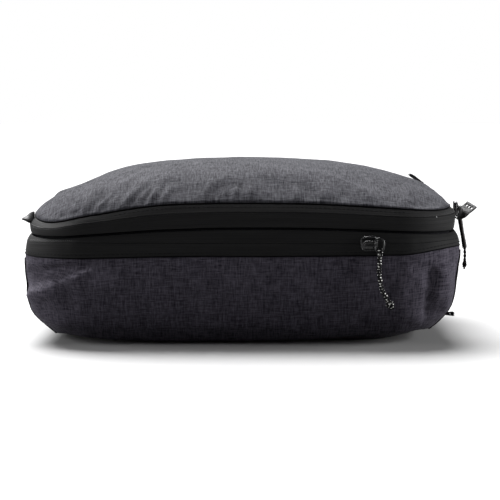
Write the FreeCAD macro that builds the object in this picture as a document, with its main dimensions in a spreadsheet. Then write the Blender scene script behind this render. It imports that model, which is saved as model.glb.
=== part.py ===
import FreeCAD, Part
import math
import os
import re
import Sketcher
from FreeCAD import Placement, Rotation, Vector

# A soft packing cube: a tapered fabric tub, a zip that lets the tub grow by a folded gusset,
# and a domed lid whose zip runs all round but for a straight hinge strip across the back.
# +X is the long way, -Y is the front, +Z is up. The tub rests on a flat patch about the origin.
# Heights are levels above that patch. Insets are measured inwards from the widest outline.

SIZES = {
    "body_width": 290,
    "body_depth": 230,
    "corner_radius": 45,
    "fabric_thick": 1.6,
    "tape_thick": 0.9,
    "coil_thick": 1.2,
    "coil_height": 1.6,
    "binding_thick": 1,
    "zip_gap": 1,
    "rib_thick": 1.2,
    "rib_proud": 0.6,
    "rest_inset": 40,
    "sole_inset": 26,
    "sole_level": 3,
    "foot_inset": 17,
    "foot_level": 8,
    "tub_level": 58,
    "lower_zip_level": 67.5,
    "mid_level": 75.4,
    "upper_zip_level": 87,
    "lid_level": 92.6,
    "upper_inset": 3,
    "shoulder_inset": 16,
    "shoulder_rise": 7,
    "slope_inset": 29,
    "slope_rise": 12,
    "crown_inset": 43,
    "crown_rise": 16,
    "top_inset": 75,
    "top_rise": 22,
    "apex_inset": 105,
    "apex_rise": 25,
    "hinge_reach": 95,
    "gusset_depth": 20,
    "gusset_thick": 1.2,
    "inner_binding_height": 2.5,
    "corner_seam_x": 121,
    "corner_seam_lean": 11.7,
    "corner_seam_width": 2.4,
    "corner_seam_proud": 0.5,
    "slider_length": 11,
    "slider_height": 10.4,
    "slider_plate": 1.2,
    "slider_gap": 0.3,
    "neck_height": 0.6,
    "neck_back": 1.5,
    "neck_nose": 0.5,
    "bridge_height": 3,
    "bridge_rise": 3.6,
    "bridge_bar": 1,
    "front_slider_x": 81.5,
    "side_slider_y": -60,
    "bail_wire": 1.6,
    "bail_length": 7.4,
    "bail_height": 10.4,
    "bail_corner": 2.4,
    "bail_pivot": 3.4,
    "bail_lift": 2.9,
    "front_cord": 3.2,
    "side_cord": 2,
    "sleeve": 3,
    "front_knot": 5.6,
    "side_knot": 4.6,
    "tab_gap": 1,
    "tab_thick": 1.4,
    "left_tab_reach": 6,
    "left_tab_width": 12,
    "left_tab_level": 82,
    "side_tab_y": -76,
    "right_tab_reach": 9.5,
    "right_tab_width": 9,
    "right_tab_x": 146,
    "right_tab_level": 85,
    "right_slot_length": 1.4,
    "right_slot_width": 1.8,
    "right_slot_pitch": 2.6,
    "right_slot_start": 6.2,
    "back_tab_reach": 13,
    "back_tab_width": 9,
    "back_tab_x": 137,
    "back_tab_y": 88,
    "back_tab_level": 95,
    "back_tab_lean": 32,
    "tag_length": 4.4,
    "tag_width": 6,
    "tag_thick": 1,
    "tag_gap": 0.05,
    "tag_y": -72,
    "tag_level": 19,
    "stop_length": 3,
}

doc = FreeCAD.newDocument("PackingCube")
sheet = doc.addObject("Spreadsheet::Sheet", "Sizes")
for row, (alias, number) in enumerate(SIZES.items(), start=1):
    sheet.set(f"A{row}", alias)
    sheet.set(f"B{row}", str(number))
    sheet.setAlias(f"B{row}", alias)
doc.recompute()


def cells(formula):
    """Turn a formula of sheet aliases into an expression."""
    return re.sub(r"[a-z]+(?:_[a-z]+)*", lambda word: sheet_name(word.group()), str(formula))


def sheet_name(word):
    """Put the sheet's name before an alias and leave any other word alone."""
    return f"Sizes.{word}" if word in SIZES else word


def value(formula):
    """Work a formula out as a number."""
    return float(sheet.evalExpression(cells(formula)))


def bind(item, setting, formula):
    """Bind one property of an object to a formula."""
    item.setExpression(setting, cells(formula))


def put(item, x=0, y=0, z=0, turn=None):
    """Place an object at bound coordinates, turned by a fixed rotation."""
    item.Placement = Placement(Vector(value(x), value(y), value(z)), turn or Rotation())
    for axis, formula in (("x", x), ("y", y), ("z", z)):
        bind(item, f"Placement.Base.{axis}", formula)
    return item


# Sketch outlines


def pin(sketch, kind, geometry, point, formula):
    """Dimension a point's distance from the sketch's origin."""
    index = sketch.addConstraint(Sketcher.Constraint(kind, -1, 1, geometry, point, value(formula)))
    bind(sketch, f"Constraints[{index}]", formula)


def draw_rounded(sketch, half_x, half_y, radius):
    """Draw a rounded rectangle about the sketch's origin."""
    reach_x = value(half_x)
    reach_y = value(half_y)
    bend = value(radius)
    quarters = []
    for number, (side_x, side_y) in enumerate(((1, 1), (-1, 1), (-1, -1), (1, -1))):
        centre = Vector(side_x * (reach_x - bend), side_y * (reach_y - bend), 0)
        circle = Part.Circle(centre, Vector(0, 0, 1), bend)
        start = number * math.pi / 2
        arc = sketch.addGeometry(Part.ArcOfCircle(circle, start, start + math.pi / 2), False)
        size = sketch.addConstraint(Sketcher.Constraint("Radius", arc, bend))
        bind(sketch, f"Constraints[{size}]", radius)
        pin(sketch, "DistanceX", arc, 3, f"{side_x} * ({half_x} - ({radius}))")
        pin(sketch, "DistanceY", arc, 3, f"{side_y} * ({half_y} - ({radius}))")
        quarters.append(arc)
    for arc, following in zip(quarters, quarters[1:] + quarters[:1]):
        leave = sketch.Geometry[arc].EndPoint
        arrive = sketch.Geometry[following].StartPoint
        side = sketch.addGeometry(Part.LineSegment(leave, arrive), False)
        sketch.addConstraint(Sketcher.Constraint("Tangent", arc, 2, side, 1))
        sketch.addConstraint(Sketcher.Constraint("Tangent", side, 2, following, 1))


def draw_rectangle(sketch, left, right, low, high):
    """Draw a rectangle with its sides at four bound coordinates."""
    corners = [Vector(value(x), value(y), 0) for x, y in
               ((left, low), (right, low), (right, high), (left, high))]
    sides = [sketch.addGeometry(Part.LineSegment(start, end), False)
             for start, end in zip(corners, corners[1:] + corners[:1])]
    for number, side in enumerate(sides):
        following = sides[(number + 1) % 4]
        sketch.addConstraint(Sketcher.Constraint("Coincident", side, 2, following, 1))
        sketch.addConstraint(Sketcher.Constraint(("Horizontal", "Vertical")[number % 2], side))
    pin(sketch, "DistanceX", sides[0], 1, left)
    pin(sketch, "DistanceY", sides[0], 1, low)
    pin(sketch, "DistanceX", sides[2], 1, right)
    pin(sketch, "DistanceY", sides[2], 1, high)


def body_sketch(body, name, role="XY_Plane", level=0):
    """Attach a sketch to one of its body's origin planes."""
    sketch = body.newObject("Sketcher::SketchObject", name)
    plane = next(item for item in body.Origin.OriginFeatures if item.Role == role)
    sketch.AttachmentSupport = [(plane, "")]
    sketch.MapMode = "FlatFace"
    bind(sketch, "AttachmentOffset.Base.z", level)
    return sketch


def pad(body, sketch, length, midplane=False):
    """Pad a sketch by a bound length."""
    feature = body.newObject("PartDesign::Pad", f"{sketch.Name}_pad")
    feature.Profile = sketch
    if midplane:
        feature.SideType = "Symmetric"
    bind(feature, "Length", length)
    body.Tip = feature
    return feature


def pocket(body, sketch, length):
    """Cut a sketch through both ways and make sure that it took something away."""
    before = body.Shape.Volume
    feature = body.newObject("PartDesign::Pocket", f"{sketch.Name}_pocket")
    feature.Profile = sketch
    feature.SideType = "Symmetric"
    bind(feature, "Length", length)
    body.Tip = feature
    doc.recompute()
    if not body.Shape.Volume < before:
        raise RuntimeError(f"{feature.Name} cut nothing")
    return feature


# Rings that follow the outline, and shells lofted through it


def ring(name, outer_inset, inner_inset, low, high):
    """Make a rounded ring between two insets and two levels."""
    body = doc.addObject("PartDesign::Body", name)
    sketch = body_sketch(body, f"{name}_outline", level=low)
    for inset in (outer_inset, inner_inset):
        draw_rounded(sketch, f"body_width / 2 - ({inset})", f"body_depth / 2 - ({inset})",
                     f"corner_radius - ({inset})")
    pad(body, sketch, f"({high}) - ({low})")
    return body


def section(name, inset, level):
    """Draw one cross-section of a shell, its corners easing as it shrinks."""
    sketch = doc.addObject("Sketcher::SketchObject", name)
    draw_rounded(sketch, f"body_width / 2 - ({inset})", f"body_depth / 2 - ({inset})",
                 f"corner_radius * (1 - 2 * ({inset}) / body_depth)")
    return put(sketch, z=level)


def loft(name, levels):
    """Loft straight-sided walls through sections given as inset and level."""
    feature = doc.addObject("Part::Loft", name)
    feature.Sections = [section(f"{name}_{number}", inset, level)
                        for number, (inset, level) in enumerate(levels)]
    feature.Solid = True
    feature.Ruled = True
    return feature


def block(name, low_corner, lengths):
    """Make a box from bound corner coordinates and bound lengths."""
    feature = doc.addObject("Part::Box", name)
    for setting, formula in zip(("Length", "Width", "Height"), lengths):
        bind(feature, setting, formula)
    return put(feature, *low_corner)


def cut(name, base, tool):
    """Subtract one object from another."""
    feature = doc.addObject("Part::Cut", name)
    feature.Base = base
    feature.Tool = tool
    return feature


def common(name, base, tool):
    """Keep what two objects share."""
    feature = doc.addObject("Part::Common", name)
    feature.Base = base
    feature.Tool = tool
    return feature


def fuse(name, pieces):
    """Join several objects."""
    feature = doc.addObject("Part::MultiFuse", name)
    feature.Shapes = pieces
    return feature


def mirror(name, source):
    """Copy an object to the other end of the bag."""
    feature = doc.addObject("Part::Mirroring", name)
    feature.Source = source
    feature.Normal = Vector(1, 0, 0)
    return feature


# The tub


def make_tub():
    """Make the wrap of front, bottom and back, the two end panels and their seam bindings."""
    outside = loft("tub_outside", (
        ("rest_inset", 0), ("sole_inset", "sole_level"), ("foot_inset", "foot_level"),
        (0, "tub_level")))
    inside = loft("tub_inside", (
        ("rest_inset", "fabric_thick"), ("sole_inset", "sole_level + fabric_thick"),
        ("foot_inset + fabric_thick", "foot_level + fabric_thick / 2"),
        ("fabric_thick", "tub_level")))
    shell = cut("tub_shell", outside, inside)
    seam_slab = corner_slab("seam_slab", 0, "corner_seam_width")
    end_slab = corner_slab("end_slab", "corner_seam_width", "body_width")
    ends = fuse("tub_ends", [seam_slab, end_slab, mirror("seam_slab_left", seam_slab),
                             mirror("end_slab_left", end_slab)])
    wrap = cut("main_wrap", shell, ends)
    right_panel = common("end_panel_right", shell, end_slab)
    proud = loft("tub_proud", (
        ("rest_inset", 0), ("sole_inset - corner_seam_proud", "sole_level"),
        ("foot_inset - corner_seam_proud", "foot_level"),
        ("0 - corner_seam_proud", "tub_level")))
    right_binding = common("corner_binding_right", cut("proud_shell", proud, inside), seam_slab)
    left = [mirror("end_panel_left", right_panel), mirror("corner_binding_left", right_binding)]
    return [wrap, right_panel, right_binding] + left


def corner_slab(name, start, width):
    """Make a leaning slab that marks where the right end panel is sewn to the wrap."""
    lean = value("corner_seam_lean")
    tall = "2 * tub_level"
    slab = block(name, (
        f"corner_seam_x + ({start}) * cos(corner_seam_lean)", "0 - body_depth",
        f"0 - sole_level - ({start}) * sin(corner_seam_lean)"), (width, "2 * body_depth", tall))
    slab.Placement = Placement(slab.Placement.Base, Rotation(Vector(0, 1, 0), lean))
    bind(slab, "Placement.Rotation.Angle", "corner_seam_lean * 1 deg")
    return slab


def make_tub_trim():
    """Make the lower half of the expansion zip, its inner binding and the folded gusset."""
    tape_top = "lower_zip_level - zip_gap / 2"
    tape = ring("lower_zip_tape_bottom", 0, "tape_thick", "tub_level", tape_top)
    coil = ring("lower_zip_coil_bottom", "tape_thick", "tape_thick + coil_thick",
                f"{tape_top} - coil_height", tape_top)
    binding = ring("tub_rim_binding", "tape_thick", "tape_thick + binding_thick", "tub_level",
                   "tub_level + inner_binding_height")
    foot = "tub_level + inner_binding_height"
    middle = f"({foot} + mid_level) / 2"
    outer = loft("gusset_outside", (
        ("tape_thick", foot), ("gusset_depth", middle), ("tape_thick", "mid_level")))
    inner = loft("gusset_inside", (
        ("tape_thick + gusset_thick", foot), ("gusset_depth + gusset_thick", middle),
        ("tape_thick + gusset_thick", "mid_level")))
    gusset = cut("expansion_gusset", outer, inner)
    return [tape, coil, binding, gusset]


def make_end_tag():
    """Make the small folded tag sewn low on the right end panel."""
    wall = ("body_width / 2 - foot_inset * (tub_level - tag_level - tag_thick)"
            " / (tub_level - foot_level)")
    return [block("end_tag", (f"{wall} + tag_gap", "tag_y", "tag_level"),
                  ("tag_length", "tag_width", "tag_thick"))]


# The middle ring


def make_middle():
    """Make the ring between the two zips, from the gusset to the lid."""
    tape_low = "lower_zip_level + zip_gap / 2"
    tape = ring("lower_zip_tape_top", 0, "tape_thick", tape_low, "mid_level")
    coil = ring("lower_zip_coil_top", "tape_thick", "tape_thick + coil_thick", tape_low,
                f"{tape_low} + coil_height")
    rib = ring("mid_seam_rib", "0 - rib_proud", "upper_inset + binding_thick", "mid_level",
               "mid_level + rib_thick")
    band = ring("mid_band", "upper_inset", "upper_inset + tape_thick", "mid_level + rib_thick",
                "upper_zip_level - zip_gap / 2")
    hinge = hinge_zone("mid_hinge_zone", "hinge_reach")
    ends = hinge_zone("mid_end_zone", "hinge_reach + stop_length")
    zip_tape = cut("upper_zip_tape_bottom", band, hinge)
    back = common("mid_back_band", band, hinge)
    coil_ring = ring("mid_coil_ring", "upper_inset + tape_thick",
                     "upper_inset + tape_thick + coil_thick",
                     "upper_zip_level - zip_gap / 2 - coil_height",
                     "upper_zip_level - zip_gap / 2")
    zip_coil = cut("upper_zip_coil_bottom", coil_ring, ends)
    stops = common("upper_zip_stops", coil_ring, cut("stop_zone", ends, hinge))
    return [tape, coil, rib, zip_tape, back, zip_coil, stops]


def hinge_zone(name, reach):
    """Mark the straight stretch at the back where plain fabric, not a zip, joins the lid."""
    return block(name, (f"0 - ({reach})", 0, 0), (f"2 * ({reach})", "body_depth", "2 * lid_level"))


# The lid


def make_lid():
    """Make the domed top panel with its rim, its half of the zip and its back band."""
    foot = "lid_level + binding_thick"
    rises = ("shoulder", "slope", "crown", "top", "apex")
    outside = loft("dome_outside", [("upper_inset", foot)] + [
        (f"{part}_inset", f"{foot} + {part}_rise") for part in rises])
    inside = loft("dome_inside", [("upper_inset + fabric_thick", foot)] + [
        (f"{part}_inset", f"{foot} + {part}_rise - fabric_thick") for part in rises])
    dome = cut("top_panel", outside, inside)
    rim = ring("lid_rim_rib", "upper_inset - rib_proud", "upper_inset + fabric_thick",
               "lid_level", foot)
    band = ring("lid_band", "upper_inset", "upper_inset + tape_thick",
                "upper_zip_level + zip_gap / 2", "lid_level")
    hinge = hinge_zone("lid_hinge_zone", "hinge_reach")
    zip_tape = cut("upper_zip_tape_top", band, hinge)
    back = common("lid_back_band", band, hinge)
    coil_ring = ring("lid_coil_ring", "upper_inset + tape_thick",
                     "upper_inset + tape_thick + coil_thick",
                     "upper_zip_level + zip_gap / 2",
                     "upper_zip_level + zip_gap / 2 + coil_height")
    zip_coil = cut("upper_zip_coil_top", coil_ring, hinge_zone(
        "lid_end_zone", "hinge_reach + stop_length"))
    binding = ring("lid_inner_binding", "upper_inset + tape_thick",
                   "upper_inset + tape_thick + binding_thick",
                   "lid_level - inner_binding_height", "lid_level")
    return [dome, rim, zip_tape, back, zip_coil, binding]


# Zip sliders and their pulls. Each is drawn with its slide along X and its outside at -Y.


def make_slider(name, place):
    """Make a slider: two plates, the neck that joins them and the bridge that holds the bail."""
    body = doc.addObject("PartDesign::Body", name)
    half = "slider_length / 2"
    outer_face = "0 - slider_gap"
    plate_face = f"{outer_face} - slider_plate"
    inner_face = "tape_thick + coil_thick + slider_gap"
    neck = body_sketch(body, f"{name}_neck")
    draw_rectangle(neck, "neck_back", f"{half} - neck_nose", plate_face, f"{inner_face} + slider_plate")
    pad(body, neck, "neck_height", midplane=True)
    for plate, low, high in (("outer", plate_face, outer_face),
                             ("inner", inner_face, f"{inner_face} + slider_plate")):
        sketch = body_sketch(body, f"{name}_{plate}")
        draw_rectangle(sketch, f"0 - {half}", half, low, high)
        pad(body, sketch, "slider_height", midplane=True)
    bridge = body_sketch(body, f"{name}_bridge")
    draw_rectangle(bridge, f"0 - {half} + bridge_bar", half, f"{plate_face} - bridge_rise",
                   f"{plate_face} + slider_plate / 2")
    pad(body, bridge, "bridge_height", midplane=True)
    doc.recompute()
    window = body_sketch(body, f"{name}_window")
    draw_rectangle(window, f"0 - {half} + 2 * bridge_bar", f"{half} - bridge_bar",
                   f"{plate_face} - bridge_rise + bridge_bar", plate_face)
    pocket(body, window, "2 * bridge_height")
    return put(body, *place)


def make_bail(name, place):
    """Make the flat wire loop that the pull cord is tied to."""
    body = doc.addObject("PartDesign::Body", name)
    sketch = body_sketch(body, f"{name}_outline", "XZ_Plane")
    draw_rounded(sketch, "bail_length / 2", "bail_height / 2", "bail_corner")
    draw_rounded(sketch, "bail_length / 2 - bail_wire", "bail_height / 2 - bail_wire",
                 "bail_corner - bail_wire")
    pad(body, sketch, "bail_wire", midplane=True)
    return put(body, *place)


# The share of the shorter run that each bend of a cord may use up
BEND_SHARE = 0.45


def cord_path(points):
    """Join straight runs with arcs as large as each pair of runs allows."""
    trims = []
    for before, corner, after in zip(points, points[1:], points[2:]):
        into = corner - before
        out = after - corner
        trims.append(BEND_SHARE * min(into.Length, out.Length))
    edges = []
    last = points[0]
    for number, trim in enumerate(trims, start=1):
        corner = points[number]
        into = (corner - points[number - 1]).normalize()
        out = (points[number + 1] - corner).normalize()
        start = corner - into * trim
        end = corner + out * trim
        radius = trim / math.tan(into.getAngle(out) / 2)
        centre = corner + (out - into).normalize() * math.hypot(trim, radius)
        middle = centre + (corner - centre).normalize() * radius
        edges += [Part.LineSegment(last, start).toShape(), Part.Arc(start, middle, end).toShape()]
        last = end
    edges.append(Part.LineSegment(last, points[-1]).toShape())
    return Part.Wire(edges)


def make_cord(name, points, thickness):
    """Sweep a round cord along its path."""
    path = cord_path([Vector(*point) for point in points])
    start = path.Edges[0].Vertexes[0].Point
    circle = Part.Circle(start, path.Edges[0].tangentAt(0), value(thickness) / 2)
    profile = Part.Wire([circle.toShape()])
    feature = doc.addObject("Part::Feature", name)
    feature.Shape = path.makePipeShell([profile], True, False)
    full = math.pi * (value(thickness) / 2) ** 2 * path.Length
    print(f"{name} length {path.Length:.1f}, volume share {feature.Shape.Volume / full:.4f}")
    return feature


def make_ball(name, centre, size):
    """Make the rounded body of a knot."""
    feature = doc.addObject("Part::Sphere", name)
    bind(feature, "Radius", f"{size} / 2")
    return put(feature, *centre)


# Routes of the pull cords, from the bail down to the knot
FRONT_ROUTE = (
    (88.2, -119.1, 60.2), (88.0, -119.4, 51.4), (88.9, -119.6, 43.2), (91.2, -119.5, 35.9),
    (95.2, -119.2, 29.6))
SIDE_ROUTE = (
    (147.2, -54.2, 79.9), (148.4, -54.1, 72.4), (149.9, -54.3, 64.8), (151.0, -54.2, 57.2),
    (150.7, -54.0, 50.0))


def make_pulls():
    """Make both sliders with their bails, cords, sleeve and knots."""
    front_face = "0 - body_depth / 2"
    side_face = "body_width / 2 - upper_inset"
    front = make_slider("front_slider", ("front_slider_x", front_face, "lower_zip_level"))
    side = make_slider("side_slider", (side_face, "side_slider_y", "upper_zip_level",
                                       Rotation(Vector(0, 0, 1), 90)))
    bail_offset = "bail_pivot + bail_length / 2 - bail_wire / 2"
    front_bail = make_bail("front_bail", (
        f"front_slider_x + {bail_offset}", f"{front_face} - bail_lift", "lower_zip_level - 1"))
    side_bail = make_bail("side_bail", (
        f"{side_face} + bail_lift", f"side_slider_y + {bail_offset}", "upper_zip_level - 1",
        Rotation(Vector(0, 0, 1), 90)))
    front_cord = make_cord("front_pull_cord", FRONT_ROUTE, "front_cord")
    side_cord = make_cord("side_pull_cord", SIDE_ROUTE, "side_cord")
    front_knot = make_ball("front_pull_knot", FRONT_ROUTE[-1], "front_knot")
    side_knot = make_ball("side_pull_knot", SIDE_ROUTE[-1], "side_knot")
    sleeve = make_sleeve("side_pull_sleeve", SIDE_ROUTE)
    return [front, side, front_bail, side_bail, front_cord, side_cord, front_knot, side_knot,
            sleeve]


def make_sleeve(name, points):
    """Make the smooth tube that covers the upper stretch of the side cord."""
    path = cord_path([Vector(*point) for point in points])
    cover = Part.Wire(path.Edges[:5])
    tangent = path.Edges[0].tangentAt(0)
    outer = Part.Wire([Part.Circle(cover.Edges[0].Vertexes[0].Point, tangent,
                                   value("sleeve") / 2).toShape()])
    inner = Part.Wire([Part.Circle(cover.Edges[0].Vertexes[0].Point, tangent,
                                   value("side_cord") / 2).toShape()])
    tube = cover.makePipeShell([outer], True, False)
    bore = cover.makePipeShell([inner], True, False)
    feature = doc.addObject("Part::Feature", name)
    feature.Shape = tube.cut(bore)
    return feature


# Tabs


def make_left_tab():
    """Make the folded webbing tab beside the left end of the lid's zip."""
    return [block("left_tab", (
        "upper_inset - body_width / 2 - tab_gap - left_tab_reach",
        "side_tab_y - left_tab_width / 2", "left_tab_level - tab_thick"),
        ("left_tab_reach", "left_tab_width", "2 * tab_thick"))]


# The slotted tab points out, back and up, and its width runs forwards and down
TAB_REACH_AXIS = Vector(0.783, 0.414, 0.464)
TAB_WIDTH_AXIS = Vector(0.593, -0.713, -0.374)


def make_right_tab():
    """Make the slotted tab beside the right end of the lid's zip."""
    body = doc.addObject("PartDesign::Body", "right_tab")
    outline = body_sketch(body, "right_tab_outline")
    draw_rectangle(outline, 0, "right_tab_reach", "0 - right_tab_width / 2",
                   "right_tab_width / 2")
    pad(body, outline, "tab_thick", midplane=True)
    doc.recompute()
    slots = body_sketch(body, "right_tab_slots")
    for number in (-1, 0, 1):
        middle = f"{number} * right_slot_pitch"
        draw_rectangle(slots, "right_slot_start", "right_slot_start + right_slot_length",
                       f"{middle} - right_slot_width / 2", f"{middle} + right_slot_width / 2")
    pocket(body, slots, "4 * tab_thick")
    turn = Rotation(TAB_REACH_AXIS, TAB_WIDTH_AXIS, TAB_REACH_AXIS.cross(TAB_WIDTH_AXIS), "XYZ")
    return [put(body, "right_tab_x", "side_tab_y", "right_tab_level", turn)]


def make_back_tab():
    """Make the tab at the lid's back right corner, which leans up over the dome."""
    body = doc.addObject("PartDesign::Body", "back_tab")
    outline = body_sketch(body, "back_tab_outline")
    draw_rectangle(outline, "0 - back_tab_reach", 0, "0 - back_tab_width / 2",
                   "back_tab_width / 2")
    pad(body, outline, "tab_thick", midplane=True)
    return [put(body, "back_tab_x", "back_tab_y", "back_tab_level + tab_gap",
                Rotation(Vector(0, 1, 0), value("back_tab_lean")))]


def check(items):
    """Stop if anything in the document failed or any sub-part has a bad shape."""
    for item in doc.Objects:
        if "Invalid" in item.State or "Error" in item.State:
            raise RuntimeError(f"{item.Name} is {item.State}")
    for item in items:
        if item.Shape.isNull() or not item.Shape.isValid():
            raise RuntimeError(f"{item.Name} has a bad shape")


def export(items):
    """Write each sub-part to its own file, named by its label."""
    os.makedirs("parts", exist_ok=True)
    for item in items:
        item.Label = item.Name
        item.Shape.exportStep(f"parts/{item.Label}.step")
        box = item.Shape.BoundBox
        print(f"{item.Label:24s} solids {len(item.Shape.Solids)} volume {item.Shape.Volume:9.1f}"
              f" x {box.XMin:7.1f} {box.XMax:7.1f} y {box.YMin:7.1f} {box.YMax:7.1f}"
              f" z {box.ZMin:6.1f} {box.ZMax:6.1f}")


parts = (make_tub() + make_tub_trim() + make_end_tag() + make_middle() + make_lid()
         + make_pulls() + make_left_tab() + make_right_tab() + make_back_tab())
doc.recompute()
check(parts)
export(parts)
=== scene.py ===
"""Soft travel packing cube with a stretch of expansion gusset and two zips.

The bag is built from its sewn pieces: a tub of fabric, a folded gusset, a ring of zip tape
that rises with the gusset, and a domed lid. Lengths are in millimetres until a mesh is made.
"""

import logging
import math
from dataclasses import dataclass, field
from enum import Enum

import bmesh
import bpy
import numpy as np
from mathutils import Matrix, Vector, noise
from mathutils.kdtree import KDTree


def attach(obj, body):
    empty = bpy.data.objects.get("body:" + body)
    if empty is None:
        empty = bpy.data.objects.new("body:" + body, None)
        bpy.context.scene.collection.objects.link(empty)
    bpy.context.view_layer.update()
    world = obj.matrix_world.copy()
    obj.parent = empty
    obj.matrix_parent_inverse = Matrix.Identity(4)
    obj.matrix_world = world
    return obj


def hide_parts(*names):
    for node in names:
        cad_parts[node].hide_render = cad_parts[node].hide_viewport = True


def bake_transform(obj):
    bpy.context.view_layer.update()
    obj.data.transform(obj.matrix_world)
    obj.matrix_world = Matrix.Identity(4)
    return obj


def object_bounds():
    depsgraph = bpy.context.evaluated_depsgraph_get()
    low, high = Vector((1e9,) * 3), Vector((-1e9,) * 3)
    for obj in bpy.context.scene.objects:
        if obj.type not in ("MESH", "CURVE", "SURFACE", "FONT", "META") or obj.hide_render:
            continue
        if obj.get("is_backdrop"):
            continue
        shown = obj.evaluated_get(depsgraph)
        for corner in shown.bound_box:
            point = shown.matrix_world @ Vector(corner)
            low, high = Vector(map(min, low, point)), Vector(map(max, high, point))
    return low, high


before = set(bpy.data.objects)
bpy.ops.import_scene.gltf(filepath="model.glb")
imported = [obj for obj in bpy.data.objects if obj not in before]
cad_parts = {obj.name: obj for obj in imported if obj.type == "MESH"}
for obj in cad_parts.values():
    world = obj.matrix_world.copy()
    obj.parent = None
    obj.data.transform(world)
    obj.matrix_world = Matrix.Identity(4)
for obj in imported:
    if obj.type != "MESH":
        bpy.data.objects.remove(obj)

LOG = logging.getLogger("packing_cube")
MM = 0.001
THREADS = 1700.0  # the yarns in a metre of cloth
LAY = 5.4  # the length of one twist of a cord's strands
FRONT_PULL_X = 88.0  # where the front pull hangs on the tub
CORNER_X, CORNER_Y = 118.0, 108.0  # the middle of a sag at a front corner
STITCH = {"Pitch": 3.0, "Length": 2.3, "Rise": 0.34, "Width": 0.42}
COIL = {"Pitch": 1.3, "Length": 0.95, "Rise": 1.1, "Width": 1.6}
Points = np.ndarray


# ---------------------------------------------------------------- node wiring
class Wiring:
    """Adds nodes to one tree and links them, so that a recipe reads in order."""

    def __init__(self, tree: bpy.types.NodeTree) -> None:
        """Start with an empty tree."""
        self.tree = tree
        tree.nodes.clear()

    def add(self, kind: str, feeds: dict | None = None, **settings: object) -> bpy.types.Node:
        """Add a node.

        Args:
            kind: the node's type name.
            feeds: what goes into each input, a socket or a constant.
            settings: the node's own options.

        Returns:
            The new node.
        """
        node = self.tree.nodes.new(kind)
        for name, choice in settings.items():
            setattr(node, name, choice)
        for name, source in (feeds or {}).items():
            if isinstance(source, bpy.types.NodeSocket):
                self.tree.links.new(source, node.inputs[name])
            else:
                node.inputs[name].default_value = source
        return node

    def maths(self, operation: str, first: object, second: object = 0.0,
              clamp: bool = False) -> bpy.types.NodeSocket:
        """Add a Math node and return its result."""
        return self.add("ShaderNodeMath", {0: first, 1: second}, operation=operation,
                        use_clamp=clamp).outputs[0]

    def link(self, source: bpy.types.NodeSocket, target: bpy.types.NodeSocket) -> None:
        """Join two sockets."""
        self.tree.links.new(source, target)

    def grain(self, vector: object, scale: object = 1.0, detail: float = 2.0,
              **more: float) -> bpy.types.NodeSocket:
        """Add a Noise Texture node and return its value."""
        feeds = {"Vector": vector, "Scale": scale, "Detail": detail, **more}
        return self.add("ShaderNodeTexNoise", feeds).outputs[0]

    def blend(self, share: object, first: object, second: object) -> bpy.types.NodeSocket:
        """Mix two colours and return the result."""
        node = self.add("ShaderNodeMix", {0: share, 6: first, 7: second}, data_type="RGBA")
        return node.outputs[2]

    def stretch(self, vector: object, scale: tuple[float, float, float]) -> bpy.types.NodeSocket:
        """Scale a pattern's coordinates and return them."""
        return self.add("ShaderNodeMapping", {"Vector": vector, "Scale": scale}).outputs[0]


def new_group(name: str, inputs: dict[str, tuple[str, float]],
              outputs: dict[str, str]) -> tuple[Wiring, dict, dict]:
    """Make an empty shader group with named sockets.

    Args:
        name: the group's name.
        inputs: each input's socket type and first value.
        outputs: each output's socket type.

    Returns:
        The wiring, the input sockets by name and the output node's sockets by name.
    """
    tree = bpy.data.node_groups.new(name, "ShaderNodeTree")
    wires = Wiring(tree)
    for label, (kind, start) in inputs.items():
        socket = tree.interface.new_socket(label, in_out="INPUT", socket_type=kind)
        if kind == "NodeSocketFloat":
            socket.default_value = start
    for label, kind in outputs.items():
        tree.interface.new_socket(label, in_out="OUTPUT", socket_type=kind)
    come = wires.add("NodeGroupInput")
    leave = wires.add("NodeGroupOutput")
    return wires, dict(come.outputs.items()), dict(leave.inputs.items())


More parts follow.
